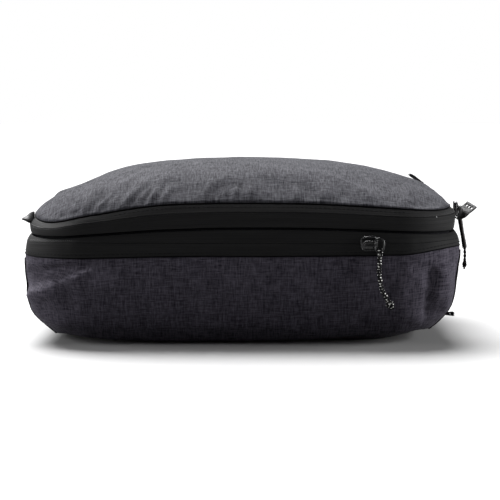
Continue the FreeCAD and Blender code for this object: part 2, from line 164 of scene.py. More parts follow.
# ---------------------------------------------------------------- finishes
class Effects:
    """The patterns that several finishes share, each built once as a node group."""

    def __init__(self) -> None:
        """Build every pattern."""
        self.weave = self._weave()
        self.ribs = self._ribs()
        self.scuffs = self._scuffs()
        self.flecks = self._flecks()

    def _weave(self) -> bpy.types.NodeTree:
        """Plain weave of slubby yarns: streaks both ways, fine threads and soft clouding.

        Returns:
            The group.
        """
        wires, come, leave = new_group(
            "slub_weave",
            {"Vector": ("NodeSocketVector", 0), "Threads": ("NodeSocketFloat", THREADS),
             "Clouding": ("NodeSocketFloat", 0.5)},
            {"Shade": "NodeSocketFloat", "Height": "NodeSocketFloat"})
        streaks = []
        for scale in ((80.0, 980.0, 80.0), (980.0, 80.0, 980.0), (210.0, 1700.0, 210.0),
                      (1700.0, 210.0, 1700.0)):
            streaks.append(wires.grain(wires.stretch(come["Vector"], scale), Roughness=0.6))
        coarse = wires.maths("ADD", streaks[0], streaks[1])
        fine = wires.maths("ADD", streaks[2], streaks[3])
        crossed = wires.maths("MULTIPLY", wires.maths("ADD", coarse, fine), 0.25)
        cloud = wires.grain(come["Vector"], 42.0, 3.0)
        clouded = wires.maths("MULTIPLY", wires.maths("SUBTRACT", cloud, 0.5), come["Clouding"])
        contrast = wires.maths("MULTIPLY_ADD", wires.maths("SUBTRACT", crossed, 0.5), 6.0)
        contrast.node.inputs[2].default_value = 0.5
        wires.link(wires.maths("ADD", contrast, clouded, clamp=True), leave["Shade"])
        axes = wires.add("ShaderNodeSeparateXYZ", {0: come["Vector"]})
        waves = [wires.maths("SINE",
                             wires.maths("MULTIPLY", axes.outputs[i],
                                         wires.maths("MULTIPLY", come["Threads"], math.pi)))
                 for i in range(2)]
        threads = wires.maths("MULTIPLY", waves[0], waves[1])
        raised = wires.maths("MULTIPLY_ADD", threads, 0.35)
        wires.link(crossed, raised.node.inputs[2])
        wires.link(raised, leave["Height"])
        return wires.tree

    def _ribs(self) -> bpy.types.NodeTree:
        """Close ribs that run along a tape, crossed by a fine twill.

        Returns:
            The group.
        """
        wires, come, leave = new_group(
            "tape_ribs",
            {"Vector": ("NodeSocketVector", 0), "Ribs": ("NodeSocketFloat", 900.0)},
            {"Shade": "NodeSocketFloat", "Height": "NodeSocketFloat"})
        axes = wires.add("ShaderNodeSeparateXYZ", {0: come["Vector"]})
        rib = wires.maths("SINE",
                          wires.maths("MULTIPLY", axes.outputs[1],
                                      wires.maths("MULTIPLY", come["Ribs"], 2 * math.pi)))
        slant = wires.maths("ADD", wires.maths("MULTIPLY", axes.outputs[0], 5200.0),
                            wires.maths("MULTIPLY", axes.outputs[1], 5200.0))
        twill = wires.maths("SINE", slant)
        streak = wires.grain(wires.stretch(come["Vector"], (14.0, 620.0, 14.0)), 1.0, 3.0)
        height = wires.maths("ADD", wires.maths("MULTIPLY", rib, 0.5),
                             wires.maths("MULTIPLY", twill, 0.25))
        wires.link(height, leave["Height"])
        shade = wires.maths("ADD", wires.maths("MULTIPLY", rib, 0.12), streak, clamp=True)
        wires.link(shade, leave["Shade"])
        return wires.tree

    def _scuffs(self) -> bpy.types.NodeTree:
        """Fine grain and small rubbed places.

        Returns:
            The group.
        """
        wires, come, leave = new_group(
            "scuffs",
            {"Vector": ("NodeSocketVector", 0), "Grain": ("NodeSocketFloat", 2500.0)},
            {"Mask": "NodeSocketFloat", "Height": "NodeSocketFloat"})
        grain = wires.grain(come["Vector"], come["Grain"])
        rub = wires.grain(come["Vector"], 520.0, 4.0, Roughness=0.7)
        mask = wires.add("ShaderNodeMapRange", {0: rub, 1: 0.52, 2: 0.7, 3: 0.0, 4: 1.0})
        wires.link(mask.outputs[0], leave["Mask"])
        wires.link(grain, leave["Height"])
        return wires.tree

    def _flecks(self) -> bpy.types.NodeTree:
        """Braid of a dark cord with pale yarns that come up one after the other.

        Returns:
            The group.
        """
        wires, come, leave = new_group(
            "cord_flecks",
            {"Vector": ("NodeSocketVector", 0), "Along": ("NodeSocketFloat", 345.0)},
            {"Fleck": "NodeSocketFloat", "Height": "NodeSocketFloat"})
        axes = wires.add("ShaderNodeSeparateXYZ", {0: come["Vector"]})
        along = wires.maths("MULTIPLY", axes.outputs[0], come["Along"])
        winding = wires.maths("ADD", along, axes.outputs[1])
        against = wires.maths("SUBTRACT", along, axes.outputs[1])
        first = wires.maths("ABSOLUTE",
                            wires.maths("SUBTRACT", wires.maths("FRACT", winding), 0.5))
        second = wires.maths("ABSOLUTE",
                             wires.maths("SUBTRACT", wires.maths("FRACT", against), 0.5))
        near = wires.maths("MAXIMUM", first, second)
        spot = wires.add("ShaderNodeMapRange", {0: near, 1: 0.19, 2: 0.14, 3: 0.0, 4: 1.0})
        wires.link(spot.outputs[0], leave["Fleck"])
        strands = wires.maths("SINE",
                              wires.maths("MULTIPLY",
                                          wires.maths("ADD", wires.maths("MULTIPLY", along, 3.0),
                                                      wires.maths("MULTIPLY", axes.outputs[1],
                                                                  4.0)), 2 * math.pi))
        wires.link(strands, leave["Height"])
        return wires.tree


class Pattern(Enum):
    """Which surface pattern a finish carries."""

    WEAVE = "weave"
    RIBS = "ribs"
    SCUFFS = "scuffs"
    FLECKS = "flecks"


class Panel(Enum):
    """The tub's cut pieces: each one's mark and the plain solid it stands for."""

    WRAP = (0, "main_wrap")
    END_RIGHT = (1, "end_panel_right")
    END_LEFT = (2, "end_panel_left")


class Mapped(Enum):
    """Which coordinates a finish's pattern follows."""

    CLOTH = "UV"
    SPACE = "Object"


@dataclass(frozen=True)
class Finish:
    """One finish: its slot, two colours that its pattern mixes, and how it takes light."""

    name: str
    slot: str
    dark: tuple[float, float, float]
    light: tuple[float, float, float]
    pattern: Pattern
    mapped: Mapped
    rough: tuple[float, float]
    bump: float
    sheen: float = 0.0
    specular: float = 0.4
    setting: float = 0.5
    coat: float = 0.0
    depth: float = 0.0003

    def material(self, effects: Effects) -> bpy.types.Material:
        """Build the material.

        Args:
            effects: the shared patterns.

        Returns:
            A node material with colour, roughness and bump from the pattern.
        """
        made = bpy.data.materials.new(self.name)
        made.use_nodes = True
        wires = Wiring(made.node_tree)
        place = wires.add("ShaderNodeTexCoord").outputs[self.mapped.value]
        group = wires.add("ShaderNodeGroup", node_tree=getattr(effects, self.pattern.value))
        wires.link(place, group.inputs["Vector"])
        woven = self.pattern is Pattern.WEAVE
        if woven:
            group.inputs[1].default_value = THREADS
        group.inputs[2 if woven else 1].default_value = self.setting
        mask, height = group.outputs[0], group.outputs[1]
        colour = wires.blend(mask, (*self.dark, 1.0), (*self.light, 1.0))
        rough = wires.add("ShaderNodeMapRange",
                          {0: mask, 1: 0.0, 2: 1.0, 3: self.rough[0], 4: self.rough[1]}).outputs[0]
        bump = wires.add("ShaderNodeBump",
                         {"Strength": self.bump, "Distance": self.depth, "Height": height})
        shader = wires.add("ShaderNodeBsdfPrincipled", {
            "Base Color": colour, "Roughness": rough, "Normal": bump.outputs[0],
            "Specular IOR Level": self.specular, "Sheen Weight": self.sheen,
            "Sheen Roughness": 0.45,
            "Coat Weight": self.coat, "Coat Roughness": 0.2})
        wires.add("ShaderNodeOutputMaterial", {"Surface": shader.outputs[0]})
        return made


FINISHES: dict[str, Finish] = {finish.name: finish for finish in (
    Finish("tub_fabric", "body_fabric", (0.0085, 0.0074, 0.0112), (0.0450, 0.0412, 0.0525),
           Pattern.WEAVE, Mapped.CLOTH, (0.92, 0.78), 0.35, sheen=0.008, specular=0.04,
           setting=0.28),
    # The lid's cloth is the tub's fabric in a darker tone: the gap between the two tones is
    # painted shade on the dome.
    Finish("lid_fabric_painted_shade", "body_fabric", (0.0044, 0.0044, 0.0058), (0.0315, 0.0315, 0.0360),
           Pattern.WEAVE, Mapped.CLOTH, (0.92, 0.78), 0.35, sheen=0.004, specular=0.02,
           setting=0.4),
    Finish("gusset_fabric", "gusset_fabric", (0.008, 0.008, 0.010), (0.030, 0.030, 0.035),
           Pattern.WEAVE, Mapped.CLOTH, (0.9, 0.8), 0.25, sheen=0.004, specular=0.02, setting=0.3),
    Finish("zip_tape", "zip_tape", (0.0052, 0.0052, 0.0054), (0.0112, 0.0112, 0.0114),
           Pattern.RIBS, Mapped.CLOTH, (0.7, 0.55), 0.12, specular=0.03, setting=900.0),
    Finish("binding", "binding", (0.0012, 0.0012, 0.0015), (0.0030, 0.0030, 0.0036), Pattern.RIBS,
           Mapped.CLOTH, (0.85, 0.75), 0.3, specular=0.02, setting=1200.0),
    Finish("webbing", "webbing", (0.0035, 0.0035, 0.004), (0.019, 0.019, 0.020), Pattern.WEAVE,
           Mapped.SPACE, (0.75, 0.6), 0.5, specular=0.15, setting=0.3),
    Finish("zip_coil", "zip_coil", (0.012, 0.012, 0.013), (0.02, 0.02, 0.022), Pattern.SCUFFS,
           Mapped.SPACE, (0.45, 0.6), 0.1, specular=0.15, setting=2500.0),
    Finish("thread", "binding", (0.004, 0.004, 0.0045), (0.010, 0.010, 0.011), Pattern.SCUFFS,
           Mapped.SPACE, (0.7, 0.8), 0.3, specular=0.03, setting=4000.0),
    Finish("slider_paint", "slider_metal", (0.0035, 0.0035, 0.004), (0.018, 0.018, 0.019),
           Pattern.SCUFFS, Mapped.SPACE, (0.14, 0.26), 0.05, specular=0.24, setting=3000.0,
           coat=0.1),
    Finish("pull_cord", "pull_cord", (0.004, 0.004, 0.0045), (0.62, 0.62, 0.60), Pattern.FLECKS,
           Mapped.CLOTH, (0.8, 0.7), 0.5, specular=0.1, setting=520.0),
    Finish("plain_cord", "pull_cord", (0.003, 0.0026, 0.0025), (0.028, 0.024, 0.022),
           Pattern.FLECKS, Mapped.CLOTH, (0.8, 0.7), 0.5, specular=0.1, setting=700.0),
    Finish("pull_sleeve", "pull_sleeve", (0.004, 0.0026, 0.0023), (0.012, 0.008, 0.007),
           Pattern.SCUFFS, Mapped.SPACE, (0.42, 0.55), 0.15, specular=0.12, setting=1800.0))}


@dataclass
class Wardrobe:
    """Makes each finish once and puts it on pieces."""

    effects: Effects = field(default_factory=Effects)
    made: dict[str, bpy.types.Material] = field(default_factory=dict)

    def get(self, name: str) -> bpy.types.Material:
        """Return the named finish, made at its first use."""
        if name not in self.made:
            self.made[name] = FINISHES[name].material(self.effects)
        return self.made[name]

    def dress(self, piece: bpy.types.Object, name: str, body: str | None,
              *nodes: str) -> bpy.types.Object:
        """Finish a piece and fix it to its body.

        Args:
            piece: the mesh object.
            name: the finish.
            body: the body that it rides on, or None.
            nodes: the plain solids that it stands for.

        Returns:
            The same piece.
        """
        piece.data.materials.clear()
        piece.data.materials.append(self.get(name))
        if body:
            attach(piece, body)
        if nodes:
            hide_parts(*nodes)
        LOG.info("%s: %d faces", piece.name, len(piece.data.polygons))
        return piece


# ---------------------------------------------------------------- mesh helpers
def linked(name: str, data: bpy.types.ID) -> bpy.types.Object:
    """Make an object from its data and put it in the scene.

    Args:
        name: the object's name.
        data: its mesh, curve, lamp or camera.

    Returns:
        The new object.
    """
    made = bpy.data.objects.new(name, data)
    bpy.context.scene.collection.objects.link(made)
    return made


def cast(name: str, work: bmesh.types.BMesh) -> bpy.types.Object:
    """Make a smooth object from a finished shape, which is used up.

    Args:
        name: the object's name.
        work: the shape.

    Returns:
        The new object.
    """
    mesh = bpy.data.meshes.new(name)
    work.to_mesh(mesh)
    work.free()
    mesh.polygons.foreach_set("use_smooth", [True] * len(mesh.polygons))
    return linked(name, mesh)


def run_length(line: Points) -> Points:
    """How far along a line each of its points lies."""
    return np.concatenate([[0], np.cumsum(np.linalg.norm(np.diff(line, axis=0), axis=1))])


def places(mesh: bpy.types.Mesh) -> Points:
    """Where a mesh's vertices are, in metres."""
    return np.array([v.co for v in mesh.vertices], float)


def mesh_object(name: str, points: Points, faces: list, smooth: bool = True) -> bpy.types.Object:
    """Make an object from points in millimetres.

    Args:
        name: the object's name.
        points: its vertices.
        faces: the vertex numbers of each face.
        smooth: whether it is shaded smooth.

    Returns:
        The new object.
    """
    mesh = bpy.data.meshes.new(name)
    mesh.from_pydata([tuple(p) for p in np.asarray(points, float) * MM], [], faces)
    mesh.polygons.foreach_set("use_smooth", [smooth] * len(mesh.polygons))
    return linked(name, mesh)


def lay_uv(piece: bpy.types.Object, corners: Points) -> None:
    """Give a mesh its UV map, in metres, one row for each face corner."""
    layer = piece.data.uv_layers.new(name="cloth")
    layer.data.foreach_set("uv", np.asarray(corners, float).reshape(-1) * MM)


def strip(name: str, rows: Points, closed: bool, along: Points | None = None,
          down: Points | None = None) -> bpy.types.Object:
    """Make a strip of cloth from rows of points, the top row first.

    Args:
        name: the piece's name.
        rows: an array of rows, columns and three coordinates.
        closed: whether the last column meets the first.
        along: each column's distance along the strip.
        down: each row's distance across the strip, for cloth that is folded up.

    Returns:
        The mesh object, with its UV map in metres.
    """
    count, width = rows.shape[:2]
    if along is None:
        along = run_length(rows[count // 2])
    if down is None:
        middle = rows[:, 0] if closed else rows.mean(axis=1)
        down = run_length(middle)
    faces, corners = [], []
    total = along[-1] + (np.linalg.norm(rows[count // 2, 0] - rows[count // 2, -1]) if closed
                         else 0)
    for r in range(count - 1):
        for c in range(width if closed else width - 1):
            n = (c + 1) % width
            faces.append((r * width + c, (r + 1) * width + c, (r + 1) * width + n, r * width + n))
            u0, u1 = along[c], (along[n] if n else total)
            corners += [(u0, down[r]), (u0, down[r + 1]), (u1, down[r + 1]), (u1, down[r])]
    piece = mesh_object(name, rows.reshape(-1, 3), faces)
    lay_uv(piece, corners)
    return piece


def settle(piece: bpy.types.Object) -> bpy.types.Object:
    """Turn a piece's modifiers into plain mesh.

    Args:
        piece: the object to change.

    Returns:
        The same object.
    """
    bpy.context.view_layer.update()
    graph = bpy.context.evaluated_depsgraph_get()
    mesh = bpy.data.meshes.new_from_object(piece.evaluated_get(graph),
                                           preserve_all_data_layers=True, depsgraph=graph)
    piece.modifiers.clear()
    old, piece.data = piece.data, mesh
    mesh.name = piece.name
    bpy.data.meshes.remove(old)
    return piece


def thicken(piece: bpy.types.Object, wall: float, level: int = 0,
            outward: float = -1.0) -> bpy.types.Object:
    """Give a cloth surface its thickness, and round it off.

    Args:
        piece: the open surface.
        wall: its thickness.
        level: how often it is subdivided.
        outward: where the thickness goes: -1 inwards, 0 both ways, 1 outwards.

    Returns:
        The same object.
    """
    solid = piece.modifiers.new("wall", "SOLIDIFY")
    solid.thickness = wall * MM
    solid.offset = outward
    solid.use_even_offset = False
    if level:
        smooth = piece.modifiers.new("round", "SUBSURF")
        smooth.levels = smooth.render_levels = level
    return settle(piece)


def refine(piece: bpy.types.Object) -> Points:
    """Divide every face in four, smoothly, and return the new points in millimetres.

    Args:
        piece: the object to change.

    Returns:
        Its new points, one row each.
    """
    smooth = piece.modifiers.new("finer", "SUBSURF")
    smooth.levels = smooth.render_levels = 1
    smooth.boundary_smooth = "PRESERVE_CORNERS"
    settle(piece)
    return places(piece.data) / MM


def push(piece: bpy.types.Object, amounts: Points) -> None:
    """Move each vertex along its normal, by millimetres.

    Args:
        piece: the object to change.
        amounts: one distance for each vertex.
    """
    mesh = piece.data
    normals = np.array([v.normal for v in mesh.vertices], float)
    co = places(mesh) + normals * (np.asarray(amounts)[:, None] * MM)
    mesh.vertices.foreach_set("co", co.reshape(-1))
    mesh.update()


def wander(points: Points, size: float, seed: int) -> Points:
    """Smooth random values from -1 to 1 at points, with features of the given size."""
    shift = Vector((seed * 3.7, seed * 1.3, seed * 2.1))
    return np.array([noise.noise(Vector(p) / size + shift) for p in points])


def smoothstep(value: Points) -> Points:
    """Ease from 0 to 1."""
    t = np.clip(value, 0, 1)
    return t * t * (3 - 2 * t)


def tube(name: str, path: Points, radius: float | Points, sides: int = 10,
         closed: bool = False) -> bpy.types.Object:
    """Sweep a round section along a path.

    Args:
        name: the piece's name.
        path: the points of the centreline, in millimetres.
        radius: one radius, or one for each point.
        sides: the section's corners.
        closed: whether the path joins up.

    Returns:
        The tube, its ends closed, with u along it in metres and v round it.
    """
    path = np.asarray(path, float)
    count = len(path)
    radii = np.broadcast_to(np.asarray(radius, float), (count,))
    ahead = np.roll(path, -1, 0) if closed else np.vstack([path[1:], path[-1:]])
    behind = np.roll(path, 1, 0) if closed else np.vstack([path[:1], path[:-1]])
    tangents = ahead - behind
    tangents /= np.linalg.norm(tangents, axis=1)[:, None]
    normal = np.cross(tangents[0], (0.31, 0.2, 0.93))
    normal /= np.linalg.norm(normal)
    normals = []
    for tangent in tangents:
        normal = normal - tangent * normal.dot(tangent)
        normal /= np.linalg.norm(normal)
        normals.append(normal)
    normals = np.array(normals)
    if closed:
        other = np.cross(tangents[0], normals[0])
        last = normals[-1] - tangents[0] * normals[-1].dot(tangents[0])
        slip = math.atan2(last.dot(other), last.dot(normals[0]))
        angles = -slip * np.arange(count) / count
        sideways = np.cross(tangents, normals)
        normals = normals * np.cos(angles)[:, None] + sideways * np.sin(angles)[:, None]
    across = np.cross(tangents, normals)
    circle = 2 * math.pi * np.arange(sides) / sides
    points = (path[:, None] + radii[:, None, None]
              * (normals[:, None] * np.cos(circle)[None, :, None] + across[:, None]
                 * np.sin(circle)[None, :, None])).reshape(-1, 3)
    along = run_length(path)
    along = np.append(along, along[-1] + np.linalg.norm(path[0] - path[-1]))
    faces, corners = [], []
    for r in range(count if closed else count - 1):
        n = (r + 1) % count
        for c in range(sides):
            d = (c + 1) % sides
            faces.append((r * sides + c, r * sides + d, n * sides + d, n * sides + c))
            corners += [(along[r], c / sides / MM), (along[r], (c + 1) / sides / MM),
                        (along[r + 1], (c + 1) / sides / MM), (along[r + 1], c / sides / MM)]
    if not closed:
        for ring, flip in ((0, True), (count - 1, False)):
            loop = [ring * sides + c for c in range(sides)]
            faces.append(tuple(reversed(loop)) if flip else tuple(loop))
            corners += [(along[ring], 0.0)] * sides
    piece = mesh_object(name, points, faces)
    lay_uv(piece, corners)
    return piece


def join(name: str, pieces: list[bpy.types.Object]) -> bpy.types.Object:
    """Join meshes into one object.

    Args:
        name: the new object's name.
        pieces: the meshes, which are used up.

    Returns:
        The one object.
    """
    whole = bmesh.new()
    for piece in pieces:
        whole.from_mesh(piece.data)
    mesh = bpy.data.meshes.new(name)
    whole.to_mesh(mesh)
    whole.free()
    for piece in pieces:
        bpy.data.objects.remove(piece)
    return linked(name, mesh)


def bar(name: str, centre: tuple, size: tuple, soft: float = 0.25,
        turn: Matrix | None = None) -> bpy.types.Object:
    """Make a small cast block with rounded edges.

    Args:
        name: the piece's name.
        centre: its middle.
        size: its three lengths.
        soft: the radius of its edges.
        turn: a turn about its middle.

    Returns:
        The block.
    """
    work = bmesh.new()
    bmesh.ops.create_cube(work, size=1.0)
    bmesh.ops.scale(work, vec=Vector(size), verts=work.verts)
    bmesh.ops.bevel(work, geom=list(work.edges), offset=min(soft, min(size) * 0.45), segments=3,
                    profile=0.5, affect="EDGES")
    if turn:
        bmesh.ops.transform(work, matrix=turn, verts=work.verts)
    bmesh.ops.translate(work, vec=Vector(centre), verts=work.verts)
    bmesh.ops.scale(work, vec=Vector((MM, MM, MM)), verts=work.verts)
    return cast(name, work)


def rounded_loop(width: float, height: float, radius: float, steps: int = 6) -> Points:
    """Points of a rounded rectangle about the origin, in two dimensions.

    Args:
        width: its full width.
        height: its full height.
        radius: the radius of its corners.
        steps: the steps round each corner.

    Returns:
        The points, in order.
    """
    out = []
    for sx, sy, start in ((1, 1, 0), (-1, 1, 90), (-1, -1, 180), (1, -1, 270)):
        for k in range(steps + 1):
            angle = math.radians(start + 90 * k / steps)
            out.append((sx * (width / 2 - radius) + radius * math.cos(angle),
                        sy * (height / 2 - radius) + radius * math.sin(angle)))
    return np.array(out)


# ---------------------------------------------------------------- the plan
@dataclass
class Plan:
    """The bag's outline from above, cut into stations that every piece shares."""

    half_x: float = 145.0
    half_y: float = 115.0
    radius: float = 45.0
    seam_angle: float = 12.0
    front_steps: int = 108
    side_steps: int = 52
    back_line: float = 100.0
    hinge_half: float = 96.0

    def __post_init__(self) -> None:
        """Walk once round the outline from the front left seam."""
        a = self.seam_angle
        parts = [self._sector(180 + a, 270, 360 - a, self.front_steps),
                 self._sector(360 - a, 360, 360 + a, self.side_steps),
                 self._sector(a, 90, 180 - a, self.front_steps),
                 self._sector(180 - a, 180, 180 + a, self.side_steps)]
        table = np.vstack(parts)
        self.base, self.out = table[:, :2], table[:, 2:]
        self.count = len(table)
        self.along = run_length(np.vstack([self.base, self.base[:1]]))[:-1]
        back = [k for k in range(self.count) if self.base[k, 1] > self.back_line
                and abs(self.base[k, 0]) < self.hinge_half]
        self.zip_columns = np.array(list(range(max(back) + 1, self.count))
                                    + list(range(0, min(back))))

    def _sector(self, start: float, middle: float, end: float, steps: int) -> Points:
        """Evenly spaced points of one wall, with their outward directions.

        Args:
            start: the direction where it begins, in degrees.
            middle: the direction where one corner gives way to the next.
            end: the direction where it ends.
            steps: how many points it has.

        Returns:
            Each point's place and outward direction, in four columns.
        """
        flat_x, flat_y = self.half_x - self.radius, self.half_y - self.radius
        dense = []
        for first, last in ((start, middle), (middle, end)):
            mid = math.radians((first + last) / 2)
            centre = (math.copysign(flat_x, math.cos(mid)), math.copysign(flat_y, math.sin(mid)))
            for angle in np.radians(np.linspace(first, last, 200)):
                dense.append((centre[0] + self.radius * math.cos(angle),
                              centre[1] + self.radius * math.sin(angle), math.cos(angle),
                              math.sin(angle)))
        dense = np.array(dense)
        run = run_length(dense[:, :2])
        at = np.linspace(0, run[-1], steps + 1)[:-1]
        return np.stack([np.interp(at, run, dense[:, k]) for k in range(4)], axis=1)

    def ring(self, inset: float | Points, height: float | Points,
             columns: Points | None = None) -> Points:
        """One row of points at an inset and height.

        Args:
            inset: how far in from the outline, everywhere or at each station.
            height: how high, everywhere or at each station.
            columns: the stations wanted, or None for all.

        Returns:
            The row of points.
        """
        pick = np.arange(self.count) if columns is None else columns
        inset = np.broadcast_to(np.asarray(inset, float), (self.count,))[pick]
        height = np.broadcast_to(np.asarray(height, float), (self.count,))[pick]
        flat = self.base[pick] - self.out[pick] * inset[:, None]
        return np.column_stack([flat, height])

    def middle(self) -> tuple[Points, Points, Points]:
        """The square grid that fills the plan.

        Returns:
            Each grid point's share of the way to the edge, its place on the outline as a
            station number with a fraction, and, at the edge, its whole station, or -1.
        """
        nx, ny = self.front_steps, self.side_steps
        share, place, edge = (np.zeros((nx + 1, ny + 1)) for _ in range(3))
        for i in range(nx + 1):
            for j in range(ny + 1):
                a, b = 2 * i / nx - 1, 2 * j / ny - 1
                m = max(abs(a), abs(b))
                share[i, j] = m
                a, b = (a / m, b / m) if m > 1e-9 else (0.0, -1.0)
                if b <= -1 + 1e-9:
                    spot = (a + 1) / 2 * nx
                elif a >= 1 - 1e-9:
                    spot = nx + (b + 1) / 2 * ny
                elif b >= 1 - 1e-9:
                    spot = nx + ny + (1 - a) / 2 * nx
                else:
                    spot = 2 * nx + ny + (1 - b) / 2 * ny
                place[i, j] = spot
                edge[i, j] = round(spot) % self.count if m > 1 - 1e-9 else -1
        return share, place, edge.astype(int)

    def pick(self, table: Points, place: Points) -> Points:
        """Read a table of station values at fractional stations.

        Args:
            table: a value, or a row of values, for each station.
            place: station numbers with fractions.

        Returns:
            The values there.
        """
        low = np.floor(place).astype(int) % self.count
        part = place - np.floor(place)
        high = (low + 1) % self.count
        if table.ndim == 2:
            part = part[..., None]
        return table[low] * (1 - part) + table[high] * part


@dataclass(frozen=True)
class Level:
    """One sewn line round the bag: its height, its inset and where it sags."""

    height: float
    inset: float
    front_left: float = 0.0
    spread: float = 36.0
    left: float = 0.0
    front_right: float = 0.0
    right: float = 0.0
    waver: float = 0.25
    seed: int = 1

    def heights(self, plan: Plan) -> Points:
        """The line's height at every station.

        Args:
            plan: the bag's outline.

        Returns:
            One height for each station.
        """
        x, y = plan.base[:, 0], plan.base[:, 1]
        z = np.full(plan.count, self.height)
        z -= self.front_left * np.exp(-((x + CORNER_X) ** 2 + (y + CORNER_Y) ** 2)
                                      / (2 * self.spread ** 2))
        z -= self.front_right * np.exp(-((x - CORNER_X) ** 2 + (y + CORNER_Y) ** 2)
                                       / (2 * 36.0 ** 2))
        z -= self.left * smoothstep((-x - 100) / 45) + self.right * smoothstep((x - 100) / 45)
        free = 1 - np.exp(-(((x - 60) / 70) ** 2)) * (y < 0)
        return z + self.waver * free * wander(np.column_stack([x, y, z]), 30, self.seed)


TUB_RIM = Level(58.8, 0.2, front_left=1.5, front_right=-1.0, right=-4.4, waver=0.3, seed=2)
LOWER_ZIP = Level(67.5, 0.45, front_left=0.0, left=1.2, front_right=0.4, right=-1.4, waver=0.2,
                  seed=3)
CREASE = Level(76.6, 4.0, front_left=5.2, spread=40, left=2.0, front_right=2.6, right=1.0,
               waver=0.35, seed=4)
UPPER_ZIP = Level(87.0, 3.2, front_left=8.5, spread=36, left=4.5, front_right=3.4, right=0.0,
                  waver=0.25, seed=5)
LID_SEAM = Level(93.0, 6.6, front_left=10.0, spread=33, left=5.0, front_right=4.0, right=1.6,
                 waver=0.3, seed=6)


def hem(plan: Plan, wardrobe: Wardrobe, name: str, profile: list[tuple[float, Points]],
        wall: float, body: str, *nodes: str) -> None:
    """Sew a narrow dark edging round the bag.

    Args:
        plan: the outline that it follows.
        wardrobe: the finishes.
        name: the piece's name.
        profile: each row's inset and heights.
        wall: its thickness.
        body: the body that it rides on.
        nodes: the plain solids that it stands for.
    """
    rows = np.array([plan.ring(inset, height) for inset, height in profile])
    wardrobe.dress(thicken(strip(name, rows, True, plan.along), wall), "binding", body, *nodes)


# ---------------------------------------------------------------- cloth
def drape(piece: bpy.types.Object, pinned: Points, pressure: float, growth: float, cap: float,
          frames: int = 18) -> None:
    """Let a sewn piece of cloth settle under soft filling.

    Args:
        piece: a mesh with no modifiers.
        pinned: how firmly each vertex is held, 0 to 1.
        pressure: how hard the clothes inside push out.
        growth: how much more cloth there is than the shape needs, which gathers at the seams.
        cap: how far a point may move, in millimetres.
        frames: how long it settles.
    """
    start = places(piece.data)
    group = piece.vertex_groups.new(name="held")
    for index, weight in enumerate(pinned):
        if weight > 0:
            group.add([index], float(weight), "REPLACE")
    cloth = piece.modifiers.new("cloth", "CLOTH")
    rules = cloth.settings
    rules.quality = 6
    rules.mass = 0.2
    rules.tension_stiffness = rules.compression_stiffness = 12
    rules.shear_stiffness = 6
    rules.bending_stiffness = 0.25
    rules.vertex_group_mass = "held"
    rules.use_pressure = True
    rules.uniform_pressure_force = pressure
    rules.shrink_min = -growth
    rules.effector_weights.gravity = 0
    cloth.collision_settings.use_collision = False
    cloth.point_cache.frame_start, cloth.point_cache.frame_end = 1, frames
    scene = bpy.context.scene
    for step in range(1, frames + 1):
        scene.frame_set(step)
    graph = bpy.context.evaluated_depsgraph_get()
    shaped = piece.evaluated_get(graph).to_mesh()
    moved = places(shaped) - start
    piece.evaluated_get(graph).to_mesh_clear()
    piece.modifiers.clear()
    piece.vertex_groups.clear()
    reach = np.linalg.norm(moved, axis=1)
    limit = cap * MM * np.tanh(reach / (cap * MM)) / np.maximum(reach, 1e-9)
    co = start + moved * limit[:, None]
    co[:, 2] = np.maximum(co[:, 2], 0.0)
    piece.data.vertices.foreach_set("co", co.reshape(-1))
    piece.data.update()
    scene.frame_set(1)
    LOG.info("%s settled, moved up to %.1f mm", piece.name, reach.max() / MM)


@dataclass(frozen=True)
class Fold:
    """A soft ridge or hollow in the front cloth between two points, each given as x and height."""

    start: tuple[float, float]
    end: tuple[float, float]
    height: float
    upper: float
    lower: float

    def raise_by(self, points: Points) -> Points:
        """How far the fold lifts each point.

        Args:
            points: places on the cloth.

        Returns:
            One distance for each point.
        """
        a, b = np.array(self.start), np.array(self.end)
        d = b - a
        seen = points[:, (0, 2)]
        t = ((seen - a) @ d) / d.dot(d)
        gap = seen - (a + np.clip(t, 0, 1)[:, None] * d)
        width = np.where(gap[:, 1] > 0, self.upper, self.lower)
        ends = smoothstep((t + 0.1) / 0.25) * smoothstep((1.12 - t) / 0.35) * (points[:, 1] < -30)
        return self.height * np.exp(-((np.linalg.norm(gap, axis=1) / width) ** 2)) * ends


